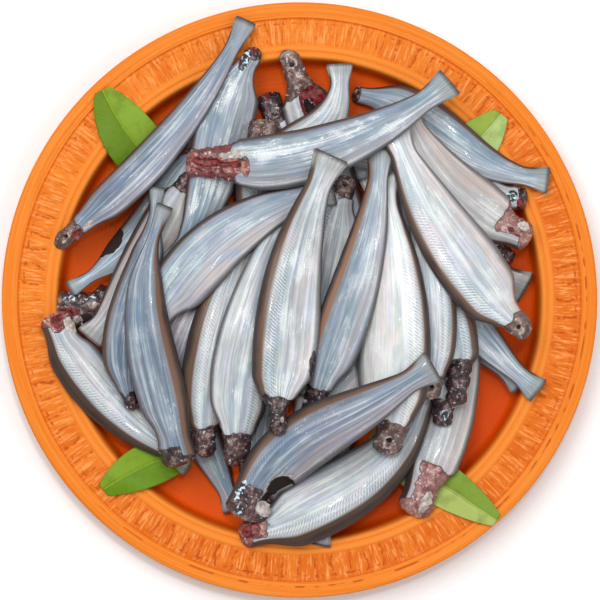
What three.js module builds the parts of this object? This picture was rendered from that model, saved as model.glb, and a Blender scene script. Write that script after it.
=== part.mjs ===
// A round moulded plate heaped with headless kajoli fish, with four leaves tucked under the heap.
// Millimetres, +Z up. The origin is on the table, under the middle of the plate.
//
// Every fish is a bent and flattened tube. Its middle line and outline are laid out in plan, and
// the heap is then built from the bottom up: each piece sinks on to what already lies there, bends
// over it as far as flesh does, and is added to the ground that the next piece comes down on.

import * as THREE from 'three';
import { mergeVertices } from 'three/addons/utils/BufferGeometryUtils.js';

// Plate
const PLATE_RADIUS = 130;
const PLATE_HEIGHT = 17;
const PLATE_WALL = 3;
const PLATE_SIDES = 48;
const WELL_RADIUS = 102.5;
const WELL_DEPTH = 12;
const LIP_RADIUS = 105.6;
const FLUTE_INNER_RADIUS = 110.8;
const FLUTE_OUTER_RADIUS = 123;
const FLUTE_SINK = 1.2;
const FLUTE_HOLLOW = 0.3;
const BEAD_SINK = 0.4;
const GROOVE_DEPTH = 0.9;
const EDGE = 0.7;
const WELD_DISTANCE = 1e-4;
const FOOT_RADIUS = 88;
const FOOT_WIDTH = 4;
const FOOT_HEIGHT = 2;

// Heap
const GROUND_CELL = 0.5;
const GROUND_REACH = 134;
const GAP = 0.5;
const SAMPLES_ALONG = 44;
const SAMPLES_ACROSS = 10;
const RELAX_PASSES = 14;
const PRESS_PASSES = 16;
const TINY = 1e-6;

// How tightly a piece bends over what it lies on, as curvature in 1/mm
const FISH_BEND = { along: 0.014, across: 0.05 };
const LEAF_BEND = { along: 0.03, across: 0.05 };

// Fish
const FISH_SIDES = 10;
const BURIED_FISH_SIDES = 8;
const FISH_THICKNESS = 8.2;
const THICKNESS_TO_DEPTH = 0.36;
const BACK_FULLNESS = 0.2;
const CUT_SETBACK = 0.05;
const NECK_START = 0.04;
const NECK_END = 0.22;
const FAN_START = 0.7;
const FAN_END = 0.9;

// Cross-sections from the cut neck (0) to the cut tail (1): place along the fish, reach towards
// the back, reach towards the belly, and thickness, all but the first as shares of the largest
const FISH_SECTIONS = [
  [0.00, 0.50, 0.40, 0.66],
  [0.05, 0.58, 0.40, 0.78],
  [0.10, 0.70, 0.42, 0.88],
  [0.16, 0.84, 0.62, 0.95],
  [0.22, 0.94, 0.88, 1.00],
  [0.31, 1.00, 1.00, 1.00],
  [0.42, 1.00, 1.00, 0.97],
  [0.53, 0.94, 0.90, 0.90],
  [0.64, 0.82, 0.76, 0.78],
  [0.74, 0.67, 0.61, 0.65],
  [0.82, 0.52, 0.47, 0.53],
  [0.89, 0.42, 0.38, 0.44],
  [0.95, 0.50, 0.46, 0.38],
  [1.00, 0.62, 0.58, 0.30],
];
const BURIED_FISH_SECTIONS = FISH_SECTIONS.filter((section, place) => ![1, 5, 9].includes(place));

// Leaves
const LEAF_THICKNESS = 0.6;
const LEAF_SEGMENTS_ALONG = 8;
const LEAF_SEGMENTS_ACROSS = 4;
const LEAF_WAVE = 1.2;
const LEAF_WAVES = 3;
const LEAF_WAVE_SKEW = 2;
const BLADE_START = 0.16;
const BLADE_SPAN = 0.8;
const BLADE_FULLNESS = 0.6;

// Where each piece lies, from the bottom of the heap to the top. For a fish: the middle of the
// neck cut, the middle of the tail cut, how far the middle line bows to its left and sways, the
// depth of the body, and whether the back is on the left (1) or the right (-1) on the way to the
// tail. A neck says how far the cut reaches towards the back and the belly, as shares of half the
// depth, and a fan how wide the tail is beside a plain one. Buried fish show only an end or a
// strip, so they are cut from fewer facets.
const LEFT = 1;
const RIGHT = -1;
const PLAIN_NECK = [0.45, 0.4];

const LEAVES = [
  { name: 'leaf_top_left', base: [-59, 53.5], tip: [-86, 91.5], bow: 2, width: 24 },
  { name: 'leaf_top_right', base: [56, 48], tip: [88, 81], bow: -1, width: 22 },
  { name: 'leaf_bottom_left', base: [-48, -66], tip: [-85.5, -83], bow: -2, width: 19 },
  { name: 'leaf_bottom_right', base: [31, -60], tip: [86, -96], bow: 0, width: 20 },
];

const FISH = [
  fish('fish_under_bottom', [20, -20], [8.5, -107], 1, 0, 18, LEFT, { buried: true }),
  fish('fish_under_lower_left_a', [-62, -16], [-28.5, -92], 0, 0, 20, LEFT, { buried: true }),
  fish('fish_under_lower_left_b', [-18, -10], [-24, -89], 2, 0, 19, RIGHT, { buried: true }),
  fish('fish_sliver_left', [-47, -68], [-41, 22], 2, 0, 22, LEFT, { buried: true }),
  fish('fish_white_middle', [-7, -62], [48, 8], -3, 0, 27, RIGHT, { buried: true }),
  fish('fish_tail_right', [14, 36], [99.5, 5], 3, 0, 26, LEFT, { buried: true }),
  fish('fish_head_right_low', [94, 16], [32, 78], 3, 0, 20, RIGHT, { buried: true }),
  fish('fish_head_right_high', [100.5, 44.5], [14, 62], 4, 0, 24, LEFT, { buried: true }),
  fish('fish_tail_lower_right', [26, 22], [97, -37], 1, 0, 21, LEFT, { buried: true }),
  fish('fish_open_head_left', [-107, -4], [-18, -16], 3, 0, 23, LEFT, { buried: true, neck: [0.75, 0.8] }),
  fish('fish_slivers_top', [-50, 24], [-31, 95], 3, 0, 21, LEFT, { buried: true }),
  fish('fish_head_top_middle', [-15, 92], [20, 4], -2, 0, 26, LEFT, { buried: true }),
  fish('fish_oval_head_top', [-6.5, 109], [32, 8], 0, 0, 22, LEFT, { buried: true }),
  fish('fish_violet_left', [-56.5, -46], [-22, 30], 4, 0, 24, RIGHT, { buried: true }),
  fish('fish_left_long', [-41, 72], [-100, 4.5], 8, 0, 22, RIGHT, { fan: 0.6 }),
  fish('fish_lower_left_outer', [-109, -5], [-47, -71], -8, 0, 22, RIGHT, { neck: [0.55, 0.8] }),
  fish('fish_tail_left', [-46, 56], [-91.5, -17], 3, 0, 23, RIGHT),
  fish('fish_upper_left_second', [-17.5, 111], [-55, 14], 0.5, -3, 25, RIGHT, { neck: [0.3, 0.3] }),
  fish('fish_round_head_top', [-15.5, 79], [-16, -12], 1, 0, 26, RIGHT, { buried: true, neck: [0.55, 0.55] }),
  fish('fish_right_tail_up', [22, 91], [108.5, 52], -1.5, 3.5, 21, LEFT, { neck: [0.35, 0.35] }),
  fish('fish_top_hooked', [-22, 52], [17.5, 103], -10.5, 2.5, 21, LEFT, { neck: [0.3, 0.3] }),
  fish('fish_lower_right_pale', [47.5, -95], [75, 12], -6, 0, 23, LEFT, { neck: [0.65, 0.7] }),
  fish('fish_bottom_dark', [-27.5, -104], [57, -31], -15.5, 2, 29, RIGHT, { neck: [0.4, 0.5] }),
  fish('fish_dark_head_right', [62, -56], [60, 34], -2, 0, 20, RIGHT, { buried: true, neck: [0.5, 0.5] }),
  fish('fish_right_tail_down', [44, 41], [104, -40], -6.5, 0, 21, LEFT),
  fish('fish_inner_right', [67.5, -47], [42, 65], -2, -3.5, 23, RIGHT),
  fish('fish_stub_right', [55.5, -43], [48, 52], -4.5, 0, 21, RIGHT, { neck: [0.5, 0.5] }),
  fish('fish_right_upper', [102, 26.5], [46, 84], 9, 0, 24, LEFT, { neck: [0.6, 0.55] }),
  fish('fish_lower_left_brown', [-40.5, -70.5], [-15, 40], 8, 0, 24, LEFT),
  fish('fish_lower_left_silver', [-27.5, -74], [0, 48], 8, 0, 26, RIGHT),
  fish('fish_centre_herringbone', [21, 54], [2, -42], -1, 0, 24, RIGHT),
  fish('fish_left_inner', [-72, -49], [-61.5, 49], 4.5, 3, 20, LEFT, { neck: [0.35, 0.3], fan: 0.6 }),
  fish('fish_widest_right', [37, -67], [34, 54], -5, 0, 31, RIGHT),
  fish('fish_left_centre', [-66, -18], [15, 48], 13, 0, 26, LEFT),
  fish('fish_centre_right', [4, -52], [35, 66], -4.5, 1, 22, LEFT, { neck: [0.5, 0.45] }),
  fish('fish_upper_left_long', [-106.5, 23.5], [-23, 122], -8.2, 0.5, 17, LEFT, { neck: [0.48, 0.48] }),
  fish('fish_left_top', [-51, -73], [-58, 41], 10.5, -2, 22, RIGHT, { neck: [0.72, 0.72], fan: 0.6 }),
  fish('fish_right_top', [99, -15.5], [40, 75], 6, 0, 29, LEFT, { neck: [0.36, 0.36] }),
  fish('fish_bottom_top', [-25.5, -97], [57.5, -28.5], 9, 3, 26, LEFT, { neck: [0.75, 0.75] }),
  fish('fish_top_red_head', [-50, 59.5], [65, 94], -13, 0, 24, LEFT, { neck: [0.6, 0.55] }),
  fish('fish_centre_top', [-9.5, -60], [14, 62], 6, -1, 28, LEFT, { neck: [0.25, 0.25] }),
];

const SURFACES = {
  plate: { color: 0xf0862f, roughness: 0.55, metalness: 0 },
  leaf: { color: 0x84a03a, roughness: 0.6, metalness: 0 },
  fish: { color: 0xb4bfc6, roughness: 0.3, metalness: 0.15 },
};

/** The record of one fish of the layout. */
function fish(name, head, tail, bow, sway, depth, backSide, ends = {}) {
  const { neck = PLAIN_NECK, fan = 1, buried = false } = ends;
  const sections = buried ? BURIED_FISH_SECTIONS : FISH_SECTIONS;
  const sides = buried ? BURIED_FISH_SIDES : FISH_SIDES;
  return { name, start: head, end: tail, bow, sway, depth, backSide, neck, fan, sections, sides };
}

/** A point of the middle line, with the unit normal to its left. */
function middleLine(piece, u) {
  const [x0, y0] = piece.start;
  const chord = new THREE.Vector2(piece.end[0] - x0, piece.end[1] - y0);
  const left = new THREE.Vector2(-chord.y, chord.x).normalize();
  const sway = piece.sway ?? 0;
  const off = piece.bow * 4 * u * (1 - u) + sway * Math.sin(2 * Math.PI * u);
  const turn = piece.bow * 4 * (1 - 2 * u) + sway * 2 * Math.PI * Math.cos(2 * Math.PI * u);
  const tangent = chord.clone().addScaledVector(left, turn).normalize();
  const point = new THREE.Vector2(x0, y0).addScaledVector(chord, u).addScaledVector(left, off);
  return { point, normal: new THREE.Vector2(-tangent.y, tangent.x) };
}

/** One column of a fish's section table at a place along the fish. */
function sectionValue(sections, column, u) {
  const last = sections.findIndex((section) => section[0] >= u);
  if (last <= 0) return sections[0][column];
  const [before, after] = [sections[last - 1], sections[last]];
  return THREE.MathUtils.mapLinear(u, before[0], after[0], before[column], after[column]);
}

/** How far a fish reaches towards its back (1) or its belly (2), as a share of half its depth. */
function sideReach(piece, column, u) {
  const plain = sectionValue(piece.sections, column, u);
  const past = THREE.MathUtils.smoothstep(u, NECK_START, NECK_END);
  const tail = THREE.MathUtils.smoothstep(u, FAN_START, FAN_END);
  const narrow = THREE.MathUtils.lerp(1, piece.fan, tail);
  return THREE.MathUtils.lerp(piece.neck[column - 1], plain, past) * narrow;
}

/** How a fish fills its plan: across runs from -1 at the belly to 1 at the back. */
const fishForm = {
  offset(piece, u, across) {
    return piece.backSide * across * sideReach(piece, across > 0 ? 1 : 2, u) * piece.depth / 2;
  },
  halfThickness(piece, u, across) {
    const full = Math.min(FISH_THICKNESS, piece.depth * THICKNESS_TO_DEPTH);
    const round = Math.sqrt(Math.max(0, 1 - across * across));
    return full / 2 * sectionValue(piece.sections, 3, u) * round * (1 + BACK_FULLNESS * across);
  },
  wave: () => 0,
  bend: FISH_BEND,
};

/** How a leaf fills its plan: a long blade, full in the middle and blunt at the tip. */
const leafForm = {
  offset(piece, u, across) {
    const blade = Math.pow(Math.sin(Math.PI * (BLADE_START + BLADE_SPAN * u)), BLADE_FULLNESS);
    return across * blade * piece.width / 2;
  },
  halfThickness: () => LEAF_THICKNESS / 2,
  wave(piece, u, across) {
    return LEAF_WAVE * (1 + Math.sin(LEAF_WAVES * Math.PI * u + LEAF_WAVE_SKEW * across)) / 2;
  },
  bend: LEAF_BEND,
};

function planPoint(piece, form, u, across) {
  const { point, normal } = middleLine(piece, u);
  return point.addScaledVector(normal, form.offset(piece, u, across));
}

/** The height of all that lies on the table so far, on a square grid. */
class Ground {
  constructor() {
    this.count = 2 * Math.round(GROUND_REACH / GROUND_CELL) + 1;
    this.heights = new Float64Array(this.count * this.count);
  }

  index(column, row) {
    return row * this.count + column;
  }

  toCell(value) {
    return (value + GROUND_REACH) / GROUND_CELL;
  }

  /** The highest of the four grid points round a place. */
  under(x, y) {
    const column = Math.floor(this.toCell(x));
    const row = Math.floor(this.toCell(y));
    const corners = [[0, 0], [1, 0], [0, 1], [1, 1]];
    return Math.max(...corners.map(([i, j]) => this.heights[this.index(column + i, row + j)]));
  }

  /** Visits the grid points under a triangle with their weights on its three corners. */
  visit(corners, callback) {
    const xs = corners.map((corner) => this.toCell(corner.x));
    const ys = corners.map((corner) => this.toCell(corner.y));
    const area = (xs[1] - xs[0]) * (ys[2] - ys[0]) - (xs[2] - xs[0]) * (ys[1] - ys[0]);
    if (Math.abs(area) < TINY) return;
    for (let column = Math.ceil(Math.min(...xs)); column <= Math.max(...xs); column += 1) {
      for (let row = Math.ceil(Math.min(...ys)); row <= Math.max(...ys); row += 1) {
        const [dx, dy] = [column - xs[0], row - ys[0]];
        const second = (dx * (ys[2] - ys[0]) - (xs[2] - xs[0]) * dy) / area;
        const third = ((xs[1] - xs[0]) * dy - dx * (ys[1] - ys[0])) / area;
        const first = 1 - second - third;
        if (Math.min(first, second, third) < -TINY) continue;
        callback(this.index(column, row), [first, second, third]);
      }
    }
  }

  /** Adds a finished piece to the ground. */
  add(geometry) {
    for (const corners of triangles(geometry)) {
      this.visit(corners, (cell, weights) => {
        const height = corners.reduce((sum, corner, i) => sum + corner.z * weights[i], 0);
        this.heights[cell] = Math.max(this.heights[cell], height);
      });
    }
  }
}

/** The corners of every triangle of a geometry, each with the number of its vertex. */
function triangles(geometry) {
  const position = geometry.getAttribute('position');
  const index = geometry.getIndex();
  const list = [];
  for (let i = 0; i < index.count; i += 3) {
    list.push([0, 1, 2].map((k) => {
      const vertex = index.getX(i + k);
      const corner = new THREE.Vector3().fromBufferAttribute(position, vertex);
      return Object.assign(corner, { vertex });
    }));
  }
  return list;
}

/** Drops a piece's middle surface on to the ground: heights over its own lattice. */
function settle(piece, form, ground) {
  const samples = [];
  const length = Math.hypot(piece.end[0] - piece.start[0], piece.end[1] - piece.start[1]);
  for (let i = 0; i <= SAMPLES_ALONG; i += 1) {
    for (let j = 0; j <= SAMPLES_ACROSS; j += 1) {
      const u = i / SAMPLES_ALONG;
      const across = -1 + 2 * j / SAMPLES_ACROSS;
      const { x, y } = planPoint(piece, form, u, across);
      const rest = ground.under(x, y) + form.halfThickness(piece, u, across) + GAP;
      samples.push({ along: u * length, side: form.offset(piece, u, across), rest });
    }
  }
  let heights = samples.map((here) => Math.max(...samples.map((there) => {
    const along = here.along - there.along;
    const side = here.side - there.side;
    return there.rest - form.bend.along * along * along / 2 - form.bend.across * side * side / 2;
  })));
  const row = SAMPLES_ACROSS + 1;
  for (let pass = 0; pass < RELAX_PASSES; pass += 1) {
    heights = heights.map((height, k) => {
      const before = heights[k - row] ?? height;
      const after = heights[k + row] ?? height;
      return Math.max(samples[k].rest, (before + 2 * height + after) / 4);
    });
  }
  return heights;
}

/** Reads a lattice of heights between its samples. */
function latticeHeight(heights, u, across) {
  const i = Math.min(u * SAMPLES_ALONG, SAMPLES_ALONG - TINY);
  const j = Math.min((across + 1) / 2 * SAMPLES_ACROSS, SAMPLES_ACROSS - TINY);
  const [i0, j0] = [Math.floor(i), Math.floor(j)];
  const at = (di, dj) => heights[(i0 + di) * (SAMPLES_ACROSS + 1) + j0 + dj];
  const near = THREE.MathUtils.lerp(at(0, 0), at(0, 1), j - j0);
  const far = THREE.MathUtils.lerp(at(1, 0), at(1, 1), j - j0);
  return THREE.MathUtils.lerp(near, far, i - i0);
}

/** Lifts vertices until no facet of the piece's underside is nearer the ground than the gap. */
function pressClear(geometry, keys, ground) {
  const position = geometry.getAttribute('position');
  for (let pass = 0; pass < PRESS_PASSES; pass += 1) {
    const lifts = new Map();
    for (const corners of triangles(geometry)) {
      ground.visit(corners, (cell, weights) => {
        const height = corners.reduce((sum, corner, i) => sum + corner.z * weights[i], 0);
        const short = ground.heights[cell] + GAP - height;
        if (short <= 0) return;
        const share = weights.reduce((sum, weight) => sum + weight * weight, 0);
        corners.forEach((corner, i) => {
          const key = keys[corner.vertex];
          lifts.set(key, Math.max(lifts.get(key) ?? 0, short * weights[i] / share));
        });
      });
    }
    if (lifts.size === 0) return;
    for (let vertex = 0; vertex < position.count; vertex += 1) {
      position.setZ(vertex, position.getZ(vertex) + (lifts.get(keys[vertex]) ?? 0));
    }
  }
}

/** Turns the faces of a closed geometry outwards. */
function faceOutwards(geometry) {
  let volume = 0;
  for (const [a, b, c] of triangles(geometry)) volume += a.dot(b.clone().cross(c)) / 6;
  if (volume < 0) {
    const index = geometry.getIndex();
    for (let i = 0; i < index.count; i += 3) {
      const second = index.getX(i + 1);
      index.setX(i + 1, index.getX(i + 2));
      index.setX(i + 2, second);
    }
  }
  return geometry;
}

function closed(geometry) {
  geometry.deleteAttribute('normal');
  geometry.deleteAttribute('uv');
  return mergeVertices(geometry, WELD_DISTANCE);
}

/**
 * Lays a piece on the ground: every vertex of a blank is given its place along the piece, across
 * it and up through its thickness, and goes to the same place on the settled piece.
 */
function lay(piece, form, blank, read, ground) {
  const geometry = closed(blank);
  const position = geometry.getAttribute('position');
  const heights = settle(piece, form, ground);
  const keys = [];
  for (let vertex = 0; vertex < position.count; vertex += 1) {
    const { u, across, up, shift } = read(new THREE.Vector3().fromBufferAttribute(position, vertex));
    const { x, y } = planPoint(piece, form, u + shift, across);
    const middle = latticeHeight(heights, u, across) + form.wave(piece, u, across);
    const z = middle + up * form.halfThickness(piece, u, across);
    position.setXYZ(vertex, x, y, z);
    keys.push(`${u.toFixed(4)} ${across.toFixed(4)}`);
  }
  faceOutwards(geometry);
  pressClear(geometry, keys, ground);
  ground.add(geometry);
  return geometry;
}

/** A fish from a round bar: its length becomes the fish's, its circle the flattened section. */
function fishGeometry(piece, ground) {
  const { sections, sides } = piece;
  const rings = sections.length - 1;
  const blank = new THREE.CylinderGeometry(1, 1, rings, sides, rings, false, Math.PI / 2);
  return lay(piece, fishForm, blank, (vertex) => {
    const ring = Math.round(vertex.y + rings / 2);
    return {
      u: sections[ring][0],
      across: THREE.MathUtils.clamp(vertex.x, -1, 1),
      up: Math.sign(vertex.z),
      shift: ring === 0 ? CUT_SETBACK * (1 + vertex.z) / 2 : 0,
    };
  }, ground);
}

/** A leaf from a flat box, which is split alike on both faces. */
function leafGeometry(piece, ground) {
  const blank = new THREE.BoxGeometry(2, 1, 2, LEAF_SEGMENTS_ACROSS, LEAF_SEGMENTS_ALONG, 1);
  return lay(piece, leafForm, blank, (vertex) => (
    { u: vertex.y + 0.5, across: vertex.x, up: Math.sign(vertex.z), shift: 0 }
  ), ground);
}

/** The plate's outline from the axis under the foot, out round the rim and back over the well. */
function plateOutline() {
  const floorTop = PLATE_HEIGHT - WELL_DEPTH;
  const beadTop = PLATE_HEIGHT - BEAD_SINK;
  const fluteTop = PLATE_HEIGHT - FLUTE_SINK;
  const rimUnder = fluteTop - PLATE_WALL;
  const [footIn, footOut] = [FOOT_RADIUS - FOOT_WIDTH / 2, FOOT_RADIUS + FOOT_WIDTH / 2];
  const beadMiddle = (LIP_RADIUS + FLUTE_INNER_RADIUS) / 2;
  const fluteMiddle = (FLUTE_INNER_RADIUS + FLUTE_OUTER_RADIUS) / 2;
  const ringMiddle = (FLUTE_OUTER_RADIUS + PLATE_RADIUS) / 2;
  const outline = [
    [0, FOOT_HEIGHT],
    [footIn - EDGE, FOOT_HEIGHT],
    [footIn, 0],
    [footOut, 0],
    [footOut + EDGE, FOOT_HEIGHT],
    [WELL_RADIUS + EDGE, FOOT_HEIGHT + EDGE],
    [LIP_RADIUS + PLATE_WALL - EDGE, rimUnder],
    [PLATE_RADIUS - PLATE_WALL, rimUnder],
    [PLATE_RADIUS - EDGE, rimUnder + EDGE],
    [PLATE_RADIUS, PLATE_HEIGHT - 2 * EDGE],
    [PLATE_RADIUS - EDGE, PLATE_HEIGHT - EDGE],
    [ringMiddle, PLATE_HEIGHT],
    [FLUTE_OUTER_RADIUS + EDGE, PLATE_HEIGHT - GROOVE_DEPTH / 2],
    [FLUTE_OUTER_RADIUS, fluteTop],
    [fluteMiddle, fluteTop - FLUTE_HOLLOW],
    [FLUTE_INNER_RADIUS + EDGE, fluteTop],
    [FLUTE_INNER_RADIUS - EDGE, beadTop],
    [beadMiddle + EDGE, beadTop],
    [beadMiddle, beadTop - GROOVE_DEPTH],
    [beadMiddle - EDGE, beadTop],
    [LIP_RADIUS + EDGE, beadTop],
    [LIP_RADIUS, beadTop - 2 * EDGE],
    [WELL_RADIUS + EDGE, floorTop + 2 * EDGE],
    [WELL_RADIUS - 2 * EDGE, floorTop],
    [0, floorTop],
  ];
  return outline.map(([radius, height]) => new THREE.Vector2(radius, height));
}

function plateGeometry() {
  const geometry = closed(new THREE.LatheGeometry(plateOutline(), PLATE_SIDES));
  geometry.rotateX(Math.PI / 2);
  return faceOutwards(geometry);
}

function finished(name, geometry, surface) {
  const material = new THREE.MeshStandardMaterial(surface);
  const mesh = new THREE.Mesh(geometry, material);
  mesh.name = name;
  return mesh;
}

function buildServing() {
  const serving = new THREE.Group();
  const ground = new Ground();
  const plate = plateGeometry();
  ground.add(plate);
  serving.add(finished('plate', plate, SURFACES.plate));
  for (const leaf of LEAVES) {
    const piece = { ...leaf, start: leaf.base, end: leaf.tip };
    serving.add(finished(leaf.name, leafGeometry(piece, ground), SURFACES.leaf));
  }
  for (const piece of FISH) {
    serving.add(finished(piece.name, fishGeometry(piece, ground), SURFACES.fish));
  }
  return serving;
}

export default buildServing();
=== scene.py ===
"""A round moulded plate heaped with small cleaned fish on leaves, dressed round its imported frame.

Every fish is a fine skin over the solid of the same name: it takes its plan from the same numbers
and its height from the solid, so it lies and bends where the solid does. Lengths are millimetres
until a mesh is finished, and metres from there on.
"""

import logging
import math
from dataclasses import dataclass
from enum import Enum
from typing import Any, Union

import bmesh
import bpy
import numpy as np
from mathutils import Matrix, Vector, noise
from mathutils.bvhtree import BVHTree

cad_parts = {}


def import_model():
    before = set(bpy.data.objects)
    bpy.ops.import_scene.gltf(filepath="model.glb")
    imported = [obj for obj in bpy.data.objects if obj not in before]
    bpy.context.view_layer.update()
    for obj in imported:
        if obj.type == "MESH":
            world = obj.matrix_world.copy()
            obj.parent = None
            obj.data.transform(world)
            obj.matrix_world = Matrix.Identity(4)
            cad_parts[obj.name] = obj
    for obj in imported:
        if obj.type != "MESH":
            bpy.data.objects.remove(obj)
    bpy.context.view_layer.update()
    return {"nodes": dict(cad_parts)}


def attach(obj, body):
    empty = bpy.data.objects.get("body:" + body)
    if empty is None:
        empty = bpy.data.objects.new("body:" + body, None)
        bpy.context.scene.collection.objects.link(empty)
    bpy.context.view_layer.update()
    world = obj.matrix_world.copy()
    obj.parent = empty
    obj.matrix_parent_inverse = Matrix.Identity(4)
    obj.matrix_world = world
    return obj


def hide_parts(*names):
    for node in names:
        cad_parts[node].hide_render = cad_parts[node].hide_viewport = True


LOG = logging.getLogger("plate_of_fish")
MM = 0.001
UP = Vector((0.0, 0.0, 1.0))
LUMP_SHIFT = Vector((17.3, 7.1, 3.7))
Colour = tuple[float, float, float]
Place = tuple[float, float, float]


# Sums on arrays


def smooth_step(value: np.ndarray, low: float, high: float) -> np.ndarray:
    """Rises from 0 at low to 1 at high, or falls where high is the smaller."""
    share = np.clip((value - low) / (high - low), 0.0, 1.0)
    return share * share * (3.0 - 2.0 * share)


def curve_weights(knots: np.ndarray, places: np.ndarray) -> np.ndarray:
    """Weighs the values at some knots so that they read as one smooth curve.

    Args:
        knots: Rising places where the values are known.
        places: Places where the curve is read.

    Returns:
        A row for each place, with the weight of each knot's value.
    """
    values = np.eye(len(knots))
    steps = np.diff(knots)
    slopes = np.diff(values, axis=0) / steps[:, None]
    before, after = steps[:-1, None], steps[1:, None]
    inner = (slopes[:-1] * after + slopes[1:] * before) / (before + after)
    tangents = np.vstack([slopes[:1], inner, slopes[-1:]])
    i = np.clip(np.searchsorted(knots, places) - 1, 0, len(knots) - 2)
    t = np.clip((places - knots[i]) / steps[i], 0.0, 1.0)[:, None]
    step = steps[i][:, None]
    return (
        (2 * t**3 - 3 * t**2 + 1) * values[i]
        + (t**3 - 2 * t**2 + t) * step * tangents[i]
        + (3 * t**2 - 2 * t**3) * values[i + 1]
        + (t**3 - t**2) * step * tangents[i + 1]
    )


def lumps(points: np.ndarray, size: float, seed: float) -> np.ndarray:
    """Gives every point a smooth random value.

    Args:
        points: One row of three coordinates for each point.
        size: How far apart the lumps are.
        seed: Picks another set of lumps.

    Returns:
        Values from about -1 to 1.
    """
    shift = LUMP_SHIFT * (seed + 1.0)
    return np.array([noise.noise(Vector(point) / size + shift) for point in points.tolist()])


# Materials


class Value:
    """A number in a material, which takes part in sums as a plain number does."""

    def __init__(self, shader: "Shader", socket: bpy.types.NodeSocket) -> None:
        """Wraps a socket of a shader."""
        self.shader = shader
        self.socket = socket

    def __add__(self, other: "Number") -> "Value":
        """Adds."""
        return self.shader.sum("ADD", self, other)

    __radd__ = __add__

    def __sub__(self, other: "Number") -> "Value":
        """Takes other away from this."""
        return self.shader.sum("SUBTRACT", self, other)

    def __rsub__(self, other: "Number") -> "Value":
        """Takes this away from other."""
        return self.shader.sum("SUBTRACT", other, self)

    def __mul__(self, other: "Number") -> "Value":
        """Multiplies."""
        return self.shader.sum("MULTIPLY", self, other)

    __rmul__ = __mul__

    def __abs__(self) -> "Value":
        """Drops the sign."""
        return self.shader.sum("ABSOLUTE", self)


Number = Union[Value, float]


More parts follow.
